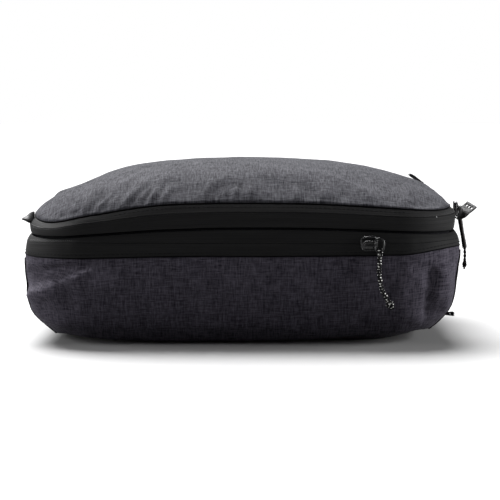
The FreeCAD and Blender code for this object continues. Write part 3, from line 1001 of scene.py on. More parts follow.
# ---------------------------------------------------------------- repeats
class Repeats:
    """Geometry Nodes that lay small shapes along a seam."""

    def __init__(self, wardrobe: Wardrobe) -> None:
        """Build the tree that the seams share."""
        self.wardrobe = wardrobe
        self.tree = self._tree()

    def _tree(self) -> bpy.types.NodeTree:
        """A bead of set size at every step along a line, turned to follow it and face outwards.

        Returns:
            The group.
        """
        tree = bpy.data.node_groups.new("beads_along_seam", "GeometryNodeTree")
        tree.interface.new_socket("Geometry", in_out="INPUT", socket_type="NodeSocketGeometry")
        for label, start in (("Pitch", 0.003), ("Length", 0.002), ("Rise", 0.0005),
                             ("Width", 0.0005)):
            socket = tree.interface.new_socket(label, in_out="INPUT",
                                               socket_type="NodeSocketFloat")
            socket.default_value = start
        tree.interface.new_socket("Finish", in_out="INPUT", socket_type="NodeSocketMaterial")
        tree.interface.new_socket("Geometry", in_out="OUTPUT", socket_type="NodeSocketGeometry")
        wires = Wiring(tree)
        come = wires.add("NodeGroupInput").outputs
        line = wires.add("GeometryNodeMeshToCurve", {"Mesh": come["Geometry"]})
        even = wires.add("GeometryNodeResampleCurve",
                         {"Curve": line.outputs[0], "Length": come["Pitch"]}, mode="LENGTH")
        bead = wires.add("GeometryNodeMeshUVSphere", {"Segments": 6, "Rings": 4, "Radius": 0.5})
        size = wires.add("ShaderNodeCombineXYZ",
                         {0: come["Length"], 1: come["Width"], 2: come["Rise"]})
        shaped = wires.add("GeometryNodeTransform",
                           {"Geometry": bead.outputs[0], "Scale": size.outputs[0]})
        tangent = wires.add("GeometryNodeInputTangent")
        outward = wires.add("GeometryNodeInputNamedAttribute", {"Name": "outward"},
                            data_type="FLOAT_VECTOR")
        first = wires.add("FunctionNodeAlignRotationToVector", {"Vector": tangent.outputs[0]},
                          axis="X")
        second = wires.add("FunctionNodeAlignRotationToVector",
                           {"Rotation": first.outputs[0], "Vector": outward.outputs[0]}, axis="Z",
                           pivot_axis="X")
        placed = wires.add("GeometryNodeInstanceOnPoints",
                           {"Points": even.outputs[0], "Instance": shaped.outputs[0],
                            "Rotation": second.outputs[0]})
        real = wires.add("GeometryNodeRealizeInstances", {"Geometry": placed.outputs[0]})
        smooth = wires.add("GeometryNodeSetShadeSmooth", {"Geometry": real.outputs[0]})
        dressed = wires.add("GeometryNodeSetMaterial",
                            {"Geometry": smooth.outputs[0], "Material": come["Finish"]})
        wires.add("NodeGroupOutput", {"Geometry": dressed.outputs[0]})
        return tree

    def lay(self, name: str, lines: list[Points], outs: list[Points], closed: bool, finish: str,
            sizes: dict[str, float]) -> bpy.types.Object:
        """Lay beads along lines.

        Args:
            name: the piece's name.
            lines: each line's points, in millimetres.
            outs: the outward direction at each point.
            closed: whether the lines join up.
            finish: the beads' finish.
            sizes: the tree's named sizes, in millimetres.

        Returns:
            A plain mesh of all the beads.
        """
        points, edges, out = [], [], []
        for line, away in zip(lines, outs):
            base = len(points)
            points += [tuple(p) for p in np.asarray(line) * MM]
            out += [tuple(v) for v in away]
            edges += [(base + k, base + k + 1) for k in range(len(line) - 1)]
            if closed:
                edges.append((base + len(line) - 1, base))
        mesh = bpy.data.meshes.new(name + "_line")
        mesh.from_pydata(points, edges, [])
        mesh.attributes.new("outward", "FLOAT_VECTOR", "POINT").data.foreach_set("vector",
                np.array(out, float).reshape(-1))
        guide = linked(name, mesh)
        run = guide.modifiers.new("beads", "NODES")
        run.node_group = self.tree
        for item in self.tree.interface.items_tree:
            if item.item_type == "SOCKET" and item.in_out == "INPUT" and item.name in sizes:
                run[item.identifier] = sizes[item.name] * MM
            if item.item_type == "SOCKET" and item.in_out == "INPUT" and item.name == "Finish":
                run[item.identifier] = self.wardrobe.get(finish)
        return settle(guide)


@dataclass
class Seams:
    """Rows of stitches and zip coil, laid on lines of the plan."""

    plan: Plan
    repeats: Repeats

    def line(self, inset: float | Points, height: Points,
             columns: Points | None = None) -> tuple[Points, Points]:
        """A line round the bag and its outward directions.

        Args:
            inset: how far in from the outline.
            height: its heights, one for each station.
            columns: the stations wanted, or None for all.

        Returns:
            The line's points and outward directions.
        """
        pick = np.arange(self.plan.count) if columns is None else columns
        return self.plan.ring(inset, height,
                              columns), np.column_stack([self.plan.out[pick], np.zeros(len(pick))])

    def stitches(self, name: str, lines: list[tuple[Points, Points]],
                 closed: bool) -> bpy.types.Object:
        """Lockstitch of thick thread."""
        return self.repeats.lay(name, [a for a, _ in lines], [b for _, b in lines], closed,
                                "thread", STITCH)

    def coil(self, name: str, line: tuple[Points, Points], closed: bool) -> bpy.types.Object:
        """One row of zip coil."""
        return self.repeats.lay(name, [line[0]], [line[1]], closed, "zip_coil", COIL)


# ---------------------------------------------------------------- tub
@dataclass
class Tub:
    """The lower half: one wrap for front, bottom and back, two end panels and their seams."""

    plan: Plan
    wardrobe: Wardrobe
    rows: int = 20
    wall: float = 0.9
    undercut_left: float = 14.0
    undercut_right: float = 14.0
    undercut_front: float = 13.0
    folds: tuple[Fold, ...] = (
        Fold((-141, 31), (-88, 54), 7.0, 3.6, 11.0),
        Fold((-140, 45), (-94, 58), -4.4, 4.5, 4.5),
        Fold((-141, 23), (-112, 15), 1.6, 3.0, 6.0),
        Fold((-143, 50), (-134, 46), 1.2, 3.0, 4.0),
        Fold((122, 52), (120, 14), -2.4, 3.4, 3.4),
        Fold((131, 50), (132, 20), 3.6, 6.0, 7.0),
        Fold((127, 36), (121, 24), 1.4, 3.0, 4.0))

    def _surface(self) -> bpy.types.Object:
        """The whole tub as one cloth surface, its top row first.

        Returns:
            The surface, each face marked with its panel.
        """
        plan = self.plan
        x, y = plan.base[:, 0], plan.base[:, 1]
        out = plan.out
        rim = TUB_RIM.heights(plan)
        left = np.clip(-out[:, 0], 0, 1) ** 1.2
        right = np.clip(out[:, 0], 0, 1) ** 1.2
        undercut = self.undercut_front * np.abs(out[:, 1]) ** 1.2
        undercut = undercut + self.undercut_left * left + self.undercut_right * right
        undercut /= np.maximum(np.abs(out[:, 1]) ** 1.2 + left + right, 1e-6)
        near_left = np.exp(-((np.hypot(x + 128, np.abs(y) - 95) / 42) ** 2))
        near_right = np.exp(-((np.hypot(x - 130, np.abs(y) - 95) / 74) ** 2))
        lift = 1.2 + 4.2 * near_left + 6.6 * near_right
        rows = []
        for v in np.linspace(0, 1, self.rows + 1):
            tuck = 6.0 * np.clip((v - 0.8) / 0.2, 0, 1) ** 1.6
            rows.append(plan.ring(TUB_RIM.inset + undercut * v ** 2.0 + tuck,
                                  rim + (lift - rim) * v))
        wall = np.array(rows)
        share, place, edge = plan.middle()
        rim_low = wall[-1]
        flat = plan.pick(rim_low, place) * share[..., None]
        lifted = plan.pick(lift, place)
        flat[..., 2] = lifted * smoothstep((share - 0.72) / 0.28) ** 1.6
        points = [wall.reshape(-1, 3)]
        index = -np.ones(share.shape, int)
        inner, count = [], wall.shape[0] * plan.count
        for i in range(share.shape[0]):
            for j in range(share.shape[1]):
                if edge[i, j] >= 0:
                    index[i, j] = self.rows * plan.count + edge[i, j]
                else:
                    index[i, j] = count + len(inner)
                    inner.append(flat[i, j])
        points.append(np.array(inner))
        faces, corners = [], []
        depth = run_length(wall[:, plan.front_steps // 2])
        total = 2 * (plan.along[-1]) - plan.along[-2]
        for r in range(self.rows):
            for c in range(plan.count):
                n = (c + 1) % plan.count
                faces.append((r * plan.count + c, (r + 1) * plan.count + c,
                              (r + 1) * plan.count + n, r * plan.count + n))
                u0, u1 = plan.along[c], plan.along[n] if n else total
                corners += [(u0, -depth[r]), (u0, -depth[r + 1]), (u1, -depth[r + 1]),
                            (u1, -depth[r])]
        for i in range(share.shape[0] - 1):
            for j in range(share.shape[1] - 1):
                square = [(i, j), (i, j + 1), (i + 1, j + 1), (i + 1, j)]
                faces.append(tuple(index[s] for s in square))
                corners += [tuple(flat[s][:2]) for s in square]
        piece = mesh_object("tub_surface", np.vstack(points), faces)
        lay_uv(piece, corners)
        marks = np.zeros(len(faces), int)
        nx, ny = plan.front_steps, plan.side_steps
        for r in range(self.rows):
            marks[r * plan.count + nx:r * plan.count + nx + ny] = Panel.END_RIGHT.value[0]
            marks[r * plan.count + 2 * nx + ny:(r + 1) * plan.count] = Panel.END_LEFT.value[0]
        for label in Panel:
            piece.data.materials.append(bpy.data.materials.new(label.name))
        piece.data.polygons.foreach_set("material_index", marks)
        return piece

    def build(self) -> None:
        """Make and dress every piece of the tub."""
        plan = self.plan
        piece = self._surface()
        co = places(piece.data) / MM
        wall_count = (self.rows + 1) * plan.count
        pinned = np.zeros(len(co))
        pinned[:plan.count] = 1
        pinned[plan.count:2 * plan.count] = 0.5
        pinned[wall_count:] = np.where(np.hypot(co[wall_count:, 0] / 100,
                                                co[wall_count:, 1] / 72) < 1, 1, 0.3)
        for row, hold in ((self.rows, 0.75), (self.rows - 1, 0.6), (self.rows - 2, 0.4),
                          (self.rows - 3, 0.2)):
            pinned[row * plan.count:(row + 1) * plan.count] = hold
        drape(piece, pinned, 0.7, 0.014, 2.2)
        co = places(piece.data) / MM
        wall = co[:(self.rows + 1) * plan.count].reshape(self.rows + 1, plan.count, 3)
        co = refine(piece)
        lift = sum(fold.raise_by(co) for fold in self.folds)
        free = smoothstep((57 - co[:, 2]) / 8) * smoothstep((co[:, 2] - 1.5) / 6)
        calm = 1 - 0.75 * np.exp(-(((co[:, 0] - FRONT_PULL_X) / 22) ** 2)) * (co[:, 1] < -80)
        soft = 1.1 * wander(co, 38, 11) + 0.5 * wander(co * (1.0, 1.0, 0.55), 14,
                                                       12) + 0.16 * wander(co, 6, 13)
        push(piece, (lift + soft * calm) * np.clip(free, 0, 1))
        self._split(piece, wall)

    def _split(self, surface: bpy.types.Object, wall: Points) -> None:
        """Cut the surface along the end seams, thicken its pieces and bind the seams.

        Args:
            surface: the whole tub, each face marked with its panel.
            wall: the walls' grid of points, which has the seams' places.
        """
        plan = self.plan
        nx, ny = plan.front_steps, plan.side_steps
        for panel in Panel:
            piece = surface.copy()
            piece.data = surface.data.copy()
            piece.name = piece.data.name = "tub_" + panel.name.lower()
            bpy.context.scene.collection.objects.link(piece)
            work = bmesh.new()
            work.from_mesh(piece.data)
            bmesh.ops.delete(work,
                             geom=[f for f in work.faces if f.material_index != panel.value[0]],
                             context="FACES")
            for face in work.faces:
                face.material_index = 0
            work.to_mesh(piece.data)
            work.free()
            thicken(piece, self.wall)
            self.wardrobe.dress(piece, "tub_fabric", "base", panel.value[1])
        skin = surface.data
        tree = KDTree(len(skin.vertices))
        for vertex in skin.vertices:
            tree.insert(vertex.co, vertex.index)
        tree.balance()
        for side, first, last in (("left", (2 * nx + ny), plan.count), ("right", nx, nx + ny)):
            low = wall[self.rows, [c % plan.count for c in range(first, last + 1)]]
            path = np.vstack([wall[1:self.rows, first % plan.count], low,
                              wall[1:self.rows, last % plan.count][::-1]])
            path = np.array([np.array(tree.find(Vector(p * MM))[0]) / MM for p in path])
            path = self._ease(path)
            cord = tube(f"seam_binding_{side}", path, 0.75, 8)
            self.wardrobe.dress(cord, "binding", "base", f"corner_binding_{side}")
        bpy.data.objects.remove(surface)
        rim = TUB_RIM.heights(plan)
        profile = [(1.6, rim + 1.6), (1.0, rim + 0.4), (1.5, rim - 1.2), (2.2, rim + 0.2),
                   (2.2, rim + 1.6)]
        hem(plan, self.wardrobe, "tub_rim_tape", profile, 0.5, "base", "tub_rim_binding")

    @staticmethod
    def _ease(path: Points) -> Points:
        """Round a seam's turns a little and lift it proud of the cloth.

        Args:
            path: the seam's points.

        Returns:
            The eased points.
        """
        for _ in range(2):
            path[1:-1] = 0.25 * path[:-2] + 0.5 * path[1:-1] + 0.25 * path[2:]
        centre = np.array((0.0, 0.0, 34.0))
        away = path - centre
        away /= np.linalg.norm(away, axis=1)[:, None]
        path = path + 0.15 * away
        path[:, 2] = np.maximum(path[:, 2], 0.8)
        return path


# ---------------------------------------------------------------- bands
@dataclass
class Bands:
    """The zip tapes, the gusset between them, the crease and the back hinge."""

    plan: Plan
    wardrobe: Wardrobe
    seams: Seams
    gap: float = -0.08
    wall: float = 0.7
    fold_low: float = 65.6
    fold_high: float = 68.4
    fold_depth: float = 6.0
    gusset_cloth: float = 62.0

    def _ripple(self, rows: Points, strength: float) -> Points:
        """Small soft waves that neighbouring tapes share, calm where the front slider runs.

        Args:
            rows: the tape's rows of points, which are moved.
            strength: how strongly it waves.

        Returns:
            The same rows.
        """
        flat = rows.reshape(-1, 3)
        x, y = flat[:, 0], flat[:, 1]
        calm = 1 - 0.85 * ((x > -95) & (x < 96) & (y < -90))
        calm = np.where((x > 120) & (y < 66), 0.2, calm)
        long = wander(flat * (1, 1, 2.2), 26, 21) * 0.5 + wander(flat * (1, 1, 5.0), 17, 22) * 0.3
        amount = (strength * calm * long).reshape(rows.shape[:2])
        amount *= np.sin(np.linspace(0.12, 0.88, rows.shape[0]) * math.pi)[:, None]
        centre = np.stack([np.clip(rows[..., 0], -100, 100), np.clip(rows[..., 1], -70, 70)],
                          axis=-1)
        out = rows[..., :2] - centre
        out /= np.linalg.norm(out, axis=-1)[..., None]
        rows[..., :2] += out * amount[..., None]
        return rows

    def tape(self, name: str, node: str, body: str, top: tuple[float | Points, Points],
             low: tuple[float | Points, Points],
             bulge: float, top_roll: float, low_roll: float, columns: Points | None = None,
             ripple: float = 0.7) -> bpy.types.Object:
        """One length of tape between two lines.

        Args:
            name: the piece's name.
            node: the plain solid it stands for.
            body: the body it rides on.
            top: inset and heights of its upper edge.
            low: inset and heights of its lower edge.
            bulge: how far it stands out between its edges.
            top_roll: how far its upper edge rolls inwards.
            low_roll: how far its lower edge rolls inwards.
            columns: the stations it covers, or None for all.
            ripple: how strongly it waves.

        Returns:
            The tape.
        """
        plan = self.plan
        rows = []
        (ti, tz), (li, lz) = top, low
        for t in (1.0, 0.5, 0.12):
            rows.append(plan.ring(ti + top_roll * t ** 0.7,
                                  tz - 0.25 - 0.5 * top_roll * (t - 0.3) ** 2, columns) if top_roll
                        else None)
        for t in np.linspace(0, 1, 9):
            inset = ti + (li - ti) * t - bulge * 4 * t * (1 - t)
            rows.append(plan.ring(inset, tz + (lz - tz) * t, columns))
        for t in (0.12, 0.5, 1.0):
            rows.append(plan.ring(li + low_roll * t ** 0.7,
                                  lz + 0.25 + 0.5 * low_roll * (t - 0.3) ** 2, columns) if low_roll
                        else None)
        rows = np.array([r for r in rows if r is not None])
        rows = self._ripple(rows, ripple)
        along = plan.along if columns is None else None
        piece = strip(name, rows, columns is None, along)
        thicken(piece, self.wall, level=1)
        return self.wardrobe.dress(piece, "zip_tape", body, node)

    def build(self) -> None:
        """Make and dress every band."""
        plan = self.plan
        rim, zip_low, crease = TUB_RIM.heights(plan), LOWER_ZIP.heights(plan), CREASE.heights(plan)
        zip_up, lid = UPPER_ZIP.heights(plan), LID_SEAM.heights(plan)
        loose = 0.45 + 0.5 * (np.abs(plan.base[:, 0]) > 112)
        self.tape("lower_tape_low", "lower_zip_tape_bottom", "base", (loose, zip_low - self.gap),
                  (0.2, rim + 0.35), 0.15, 1.6, 1.2)
        self.tape("lower_tape_high", "lower_zip_tape_top", "mid_ring",
                  (CREASE.inset, crease - 0.55), (loose, zip_low + self.gap), 0.4, 1.2, 1.6)
        columns = plan.zip_columns
        self.tape("upper_tape_low", "upper_zip_tape_bottom", "mid_ring",
                  (UPPER_ZIP.inset, zip_up - self.gap), (CREASE.inset, crease + 0.7), 0.3, 1.6,
                  1.3, columns)
        self.tape("upper_tape_high", "upper_zip_tape_top", "lid", (LID_SEAM.inset, lid - 0.5),
                  (UPPER_ZIP.inset, zip_up + self.gap), 0.2, 1.3, 1.6, columns)
        self._crease(crease)
        self._rim_seam(rim)
        self._gusset(rim, crease)
        self._back(crease, lid)
        self._coils(zip_low, zip_up)
        self._stitching(rim, crease, lid)

    def _crease(self, crease: Points) -> None:
        """The dark joined edge where the lower and upper tapes are sewn together.

        Args:
            crease: its heights, one for each station.
        """
        inset = CREASE.inset
        profile = [(inset + 2.4, crease + 0.5), (inset + 0.7, crease + 0.45),
                   (inset + 0.35, crease + 0.1),
                   (inset + 0.7, crease - 0.25), (inset + 2.4, crease - 0.3)]
        hem(self.plan, self.wardrobe, "crease_seam", profile, 0.5, "mid_ring", "mid_seam_rib")

    def _rim_seam(self, rim: Points) -> None:
        """The turned edge where the tub's cloth meets the lowest tape, in black binding: partly
        the binding's own colour, partly painted shadow under the overlap.

        Args:
            rim: its heights, one for each station.
        """
        profile = [(1.2, rim + 0.55), (-0.1, rim + 0.45), (-0.35, rim + 0.15), (-0.1, rim - 0.15),
                   (1.2, rim - 0.25)]
        # This edge's black stands partly for the shade under the cloth's overlap: painted shadow.
        hem(self.plan, self.wardrobe, "tub_rim_edge_and_painted_shadow", profile, 0.4, "base")

    def _gusset(self, rim: Points, crease: Points) -> None:
        """The folded expansion cloth: sewn in under the lower tapes, its fold pointing inwards.

        Args:
            rim: the tub rim's heights.
            crease: the crease's heights.
        """
        plan = self.plan
        rows = []
        low, high = np.minimum(rim + 0.6, self.fold_low), np.maximum(crease + 0.2, self.fold_high)
        for t in np.linspace(0, 1, 25):
            depth = CREASE.inset + 2.0 + (2.4 - CREASE.inset - 2.0) * t + self.fold_depth * (1
                    - abs(2 * t - 1) ** 1.6)
            upper, lower = np.clip(1 - t / 0.2, 0, 1), np.clip((t - 0.8) / 0.2, 0, 1)
            fold = self.fold_high + (self.fold_low - self.fold_high) * np.clip((t - 0.2) / 0.6, 0,
                    1)
            rows.append(plan.ring(depth,
                                  fold + (high - self.fold_high) * upper + (low - self.fold_low)
                                  * lower))
        rows = np.array(rows)
        flat = rows.reshape(-1, 3)
        crumple = (wander(flat * (1, 1, 0.6), 16, 31) * 1.2 + wander(flat, 7, 32)
                   * 0.5).reshape(rows.shape[:2])
        crumple *= np.sin(np.linspace(0, 1, rows.shape[0]) * math.pi)[:, None]
        rows[..., :2] += plan.out[None] * crumple[..., None]
        piece = thicken(strip("gusset", rows, True, plan.along,
                              np.linspace(0, self.gusset_cloth, len(rows))), 0.35)
        self.wardrobe.dress(piece, "gusset_fabric", None, "expansion_gusset")
        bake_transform(piece)

    def _back(self, crease: Points, lid: Points) -> None:
        """One strip of tape across the back, from the lid seam down to the crease.

        Args:
            crease: the crease's heights.
            lid: the lid seam's heights.
        """
        plan = self.plan
        reach = plan.hinge_half + 1
        across = np.linspace(reach, -reach, 70)
        table = plan.base
        back = np.where(table[:, 1] > plan.back_line)[0]
        order = back[np.argsort(table[back, 0])]
        z_low = np.interp(across, table[order, 0], crease[order]) + 0.5
        z_top = np.interp(across, table[order, 0], lid[order]) - 0.2
        rows = []
        for t in np.linspace(0, 1, 17):
            inset = LID_SEAM.inset + (CREASE.inset - LID_SEAM.inset) * t - 0.9 * 4 * t * (1
                    - t) * 0.6
            z = z_top + (z_low - z_top) * t
            rows.append(np.column_stack([across,
                                         plan.half_y - inset + 0.35
                                         * wander(np.column_stack([across, across * 0, z]), 24,
                                                  41), z]))
        piece = thicken(strip("back_hinge_tape", np.array(rows), False), 0.8, level=1)
        self.wardrobe.dress(piece, "zip_tape", None, "mid_back_band", "lid_back_band")
        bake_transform(piece)

    def _coils(self, zip_low: Points, zip_up: Points) -> None:
        """The four rows of coil behind the tapes' edges and the end stops of the upper zip.

        Args:
            zip_low: the lower zip's heights.
            zip_up: the upper zip's heights.
        """
        plan, seams, columns = self.plan, self.seams, self.plan.zip_columns
        rows = (("coil_lower_low", "lower_zip_coil_bottom", "base", 2.3, zip_low - 1.2, None),
                ("coil_lower_high", "lower_zip_coil_top", "mid_ring", 2.3, zip_low + 1.2, None),
                ("coil_upper_low", "upper_zip_coil_bottom", "mid_ring", UPPER_ZIP.inset + 1.8,
                 zip_up - 1.2, columns),
                ("coil_upper_high", "upper_zip_coil_top", "lid", UPPER_ZIP.inset + 1.8,
                 zip_up + 1.2, columns))
        for name, node, body, inset, z, pick in rows:
            self.wardrobe.dress(seams.coil(name, seams.line(inset, z, pick), pick is None),
                                "zip_coil", body, node)
        stops = []
        for end in (columns[0], columns[-1]):
            spot = plan.ring(UPPER_ZIP.inset + 0.3, zip_up)[end]
            turn = Matrix.Rotation(math.atan2(plan.out[end, 1], plan.out[end, 0]), 4, "Z")
            stops.append(bar("stop", tuple(spot), (1.6, 3.0, 3.0), 0.4, turn))
        self.wardrobe.dress(join("zip_stops", stops), "slider_paint", "mid_ring",
                            "upper_zip_stops")

    def _stitching(self, rim: Points, crease: Points, lid: Points) -> None:
        """Rows of topstitching along the tapes.

        Args:
            rim: the tub rim's heights.
            crease: the crease's heights.
            lid: the lid seam's heights.
        """
        seams, columns = self.seams, self.plan.zip_columns
        low = seams.stitches("stitches_tub", [seams.line(0.12, rim + 2.3)], True)
        self.wardrobe.dress(low, "thread", "base")
        middle = seams.stitches("stitches_middle", [seams.line(CREASE.inset - 0.3, crease - 1.4)],
                                True)
        self.wardrobe.dress(middle, "thread", "mid_ring")
        top = seams.stitches("stitches_lid",
                             [seams.line(LID_SEAM.inset - 1.35, lid - 2.3, columns)], False)
        self.wardrobe.dress(top, "thread", "lid")


# ---------------------------------------------------------------- lid
@dataclass
class Lid:
    """The domed top panel, the cord in its seam and the binding inside."""

    plan: Plan
    wardrobe: Wardrobe
    rise: float = 25.0
    seed: int = 7

    def _puckers(self, points: Points, share: Points) -> Points:
        """Gathers that fan up from the seam, strongest at the front left and front middle.

        Args:
            points: places on the panel.
            share: each point's share of the way to the seam.

        Returns:
            One distance for each point.
        """
        rng = np.random.default_rng(self.seed)
        x, y = points[:, 0], points[:, 1]
        run = (1 - share) * 112.0
        total = np.zeros(len(points))
        front = smoothstep((-y - 55) / 35)
        marks = [(-121, 1.0), (-112, 1.3), (-103, 1.2), (-94, 1.5), (-86, 1.1), (-77, 1.6),
                 (-69, 1.2), (-60, 1.7), (-52, 1.0),
                 (-30, 0.5), (-12, 0.9), (-4, 1.3), (5, 1.2), (14, 0.8), (36, 0.5), (52, 0.7),
                 (58, 0.5), (80, 0.4), (108, 0.7)]
        for spot, strength in marks:
            slant = rng.uniform(0.25, 0.65) if spot < -20 else rng.uniform(-0.1, 0.2)
            length = rng.uniform(20, 36)
            width = rng.uniform(2.2, 3.6)
            across = (x - spot - slant * run) / (width * (1 + run / 40))
            total += strength * 2.2 * front * np.exp(-(across ** 2)) * np.exp(-(run
                    / length) ** 1.6)
        for _ in range(46):
            angle = rng.uniform(-0.9, math.pi + 0.9)
            cx, cy = 138 * math.cos(angle), 108 * math.sin(angle)
            length, width = rng.uniform(9, 20), rng.uniform(2.5, 4.5)
            tangent = np.array((-math.sin(angle), math.cos(angle)))
            across = ((x - cx) * tangent[0] + (y - cy) * tangent[1]) / width
            near = np.exp(-(((x - cx) ** 2 + (y - cy) ** 2) / (30.0 ** 2)))
            total += rng.uniform(0.5,
                                 1.3) * np.exp(-(across ** 2)) * np.exp(-(run
                                         / length) ** 1.6) * near
        return total

    def build(self) -> None:
        """Make and dress the lid's pieces."""
        plan = self.plan
        share, place, _ = plan.middle()
        seam = LID_SEAM.heights(plan)
        rim = plan.ring(LID_SEAM.inset + 0.1, seam + 0.5)
        grid = plan.pick(rim, place)
        grid[..., :2] *= share[..., None]
        x, y = grid[..., 0], grid[..., 1]
        hx, hy = plan.half_x - LID_SEAM.inset, plan.half_y - LID_SEAM.inset
        oval = np.sqrt((x / hx) ** 2 + (y / hy) ** 2)
        near_edge = share ** 4
        t = np.clip(share * near_edge + oval * (1 - near_edge), 0, 1)
        along_x = (x / hx) ** 2 / np.maximum((x / hx) ** 2 + (y / hy) ** 2, 1e-9)
        power = 0.62 * (1 - along_x) + (0.71 - 0.15 * x / 140) * along_x
        dome = self.rise * np.power(np.clip(1 - t ** 2, 0, 1), power)
        held = share ** 7
        grid[..., 2] = grid[..., 2] * held + LID_SEAM.height * (1 - held) + dome
        faces, corners = [], []
        nx, ny = plan.front_steps, plan.side_steps
        for i in range(nx):
            for j in range(ny):
                square = [(i, j), (i + 1, j), (i + 1, j + 1), (i, j + 1)]
                faces.append(tuple(a * (ny + 1) + b for a, b in square))
                corners += [tuple(grid[s][:2]) for s in square]
        flat = grid.reshape(-1, 3)
        piece = mesh_object("lid_top", flat, faces)
        lay_uv(piece, corners)
        around = share.reshape(-1)
        pinned = np.where(around > 0.999, 1.0, np.where(around > 0.97, 0.3, 0.0))
        drape(piece, pinned, 0.6, 0.008, 3.0)
        layer = piece.data.attributes.new("share", "FLOAT", "POINT")
        layer.data.foreach_set("value", around.astype(np.float32))
        flat = refine(piece)
        around = np.array([d.value for d in piece.data.attributes["share"].data])
        lift = self._puckers(flat, around)
        soft = 0.9 * wander(flat, 44, 51) + 0.35 * wander(flat, 15, 52) + 0.12 * wander(flat, 6,
                53)
        free = smoothstep((1 - around) / 0.07)
        push(piece, (lift + soft * smoothstep((1 - around) / 0.12)) * free)
        thicken(piece, 0.8)
        # The lid's finish is the tub's fabric darkened: painted shade on the dome.
        self.wardrobe.dress(piece, "lid_fabric_painted_shade", "lid", "top_panel")
        inset = LID_SEAM.inset
        rib = [(inset + 2.2, seam + 0.3), (inset + 0.35, seam + 0.5), (inset - 0.05, seam + 0.02),
               (inset + 0.3, seam - 0.5),
               (inset + 2.2, seam - 0.4)]
        hem(plan, self.wardrobe, "lid_seam_cord", rib, 0.45, "lid", "lid_rim_rib")
        inner = [(inset + 2.0, seam - 0.2), (inset + 2.6, seam - 1.6), (inset + 3.2, seam - 2.4),
                 (inset + 3.8, seam - 1.0)]
        hem(plan, self.wardrobe, "lid_inner_tape", inner, 0.5, "lid", "lid_inner_binding")


# ---------------------------------------------------------------- sliders and pulls
@dataclass
class Facing:
    """Where a slider sits: its own x runs along the zip, y points into the bag and z is up."""

    origin: Vector
    turn: float

    def place(self, points: Points) -> Points:
        """Turn local millimetres into the bag's."""
        matrix = Matrix.Translation(self.origin) @ Matrix.Rotation(math.radians(self.turn), 4, "Z")
        return np.array([matrix @ Vector(p) for p in points])

    def move(self, piece: bpy.types.Object) -> bpy.types.Object:
        """Turn a piece made at the origin.

        Args:
            piece: the object to turn.

        Returns:
            The same object.
        """
        matrix = Matrix.Translation(self.origin * MM) @ Matrix.Rotation(math.radians(self.turn), 4,
                "Z")
        piece.data.transform(matrix)
        return piece


@dataclass
class Slider:
    """A coil-zip slider: two plates with folded rails, a neck and a raised bridge."""

    name: str
    facing: Facing
    body: str
    wardrobe: Wardrobe
    length: float = 11.0
    height: float = 10.4

    def _plate(self, depth: float, thick: float, scale: float) -> bpy.types.Object:
        """A plate with a rounded nose and a waist, its middle at the given depth.

        Args:
            depth: the depth of its middle.
            thick: its thickness.
            scale: its size against the outer plate.

        Returns:
            The plate.
        """
        half, tall = self.length / 2 * scale, self.height / 2 * scale
        outline = []
        for k in range(40):
            angle = 2 * math.pi * k / 40
            c, s = math.cos(angle), math.sin(angle)
            px = math.copysign(abs(c) ** 0.55, c) * half
            pz = math.copysign(abs(s) ** 0.55,
                               s) * tall * (1 - 0.10 * (1 - abs(px) / half) ** 2 - 0.08 * (px < 0)
                                            * (abs(px) / half) ** 3)
            outline.append((px, pz))
        work = bmesh.new()
        low = [work.verts.new((px * MM, (depth - thick / 2) * MM, pz * MM)) for px, pz in outline]
        face = work.faces.new(low)
        grown = bmesh.ops.extrude_face_region(work, geom=[face])
        moved = [g for g in grown["geom"] if isinstance(g, bmesh.types.BMVert)]
        bmesh.ops.translate(work, vec=(0, thick * MM, 0), verts=moved)
        bmesh.ops.recalc_face_normals(work, faces=work.faces)
        flat = [e for e in work.edges if abs(e.verts[0].co.y - e.verts[1].co.y) < 1e-6]
        bmesh.ops.bevel(work, geom=flat, offset=0.28 * MM, segments=2, profile=0.5, affect="EDGES")
        return cast("plate", work)

    def build(self) -> None:
        """Make and dress the slider."""
        parts = [self._plate(-0.6, 1.2, 1.0), self._plate(3.3, 1.2, 0.62)]
        for sign in (1, -1):
            rail = np.array([(-4.4, -1.35, 3.55), (-2.5, -1.5, 4.0), (0, -1.55, 4.15),
                             (2.5, -1.5, 4.1), (4.4, -1.3, 3.7)])
            rail[:, 2] *= sign
            parts.append(tube("rail", rail, [0.45, 0.62, 0.66, 0.62, 0.45], 8))
        loop = rounded_loop(7.2, 4.4, 1.5)
        ring = np.column_stack([loop[:, 0] + 0.2, -3.6 + 0.12 * np.abs(loop[:, 0]),
                                loop[:, 1] * 0.62])
        parts.append(tube("bridge", ring, 0.62, 8, closed=True))
        parts.append(bar("post", (-3.3, -2.4, 0), (1.2, 2.8, 2.4), 0.35))
        parts.append(bar("post", (3.4, -2.2, 0), (1.1, 2.4, 2.0), 0.35))
        parts.append(bar("neck", (-3.4, 1.35, 0), (2.4, 3.2, 0.62), 0.2))
        whole = self.facing.move(join(self.name + "_slider_cast", parts))
        self.wardrobe.dress(whole, "slider_paint", self.body, f"{self.name}_slider")


@dataclass
class Bail:
    """The wire ring that the pull hangs from."""

    name: str
    body: str
    centre: Vector
    turn: float
    wardrobe: Wardrobe
    wire: float = 1.5
    width: float = 7.2
    height: float = 10.2

    def build(self) -> None:
        """Make and dress the ring: a rounded D with flattened arms."""
        loop = rounded_loop(self.width - self.wire, self.height - self.wire, 2.6, 7)
        ring = np.column_stack([loop[:, 0], -0.25 * np.cos(loop[:, 1] / self.height * math.pi),
                                loop[:, 1]])
        piece = tube(self.name + "_ring", ring, self.wire / 2, 10, closed=True)
        Facing(self.centre, self.turn).move(piece)
        self.wardrobe.dress(piece, "slider_paint", self.body, self.name)


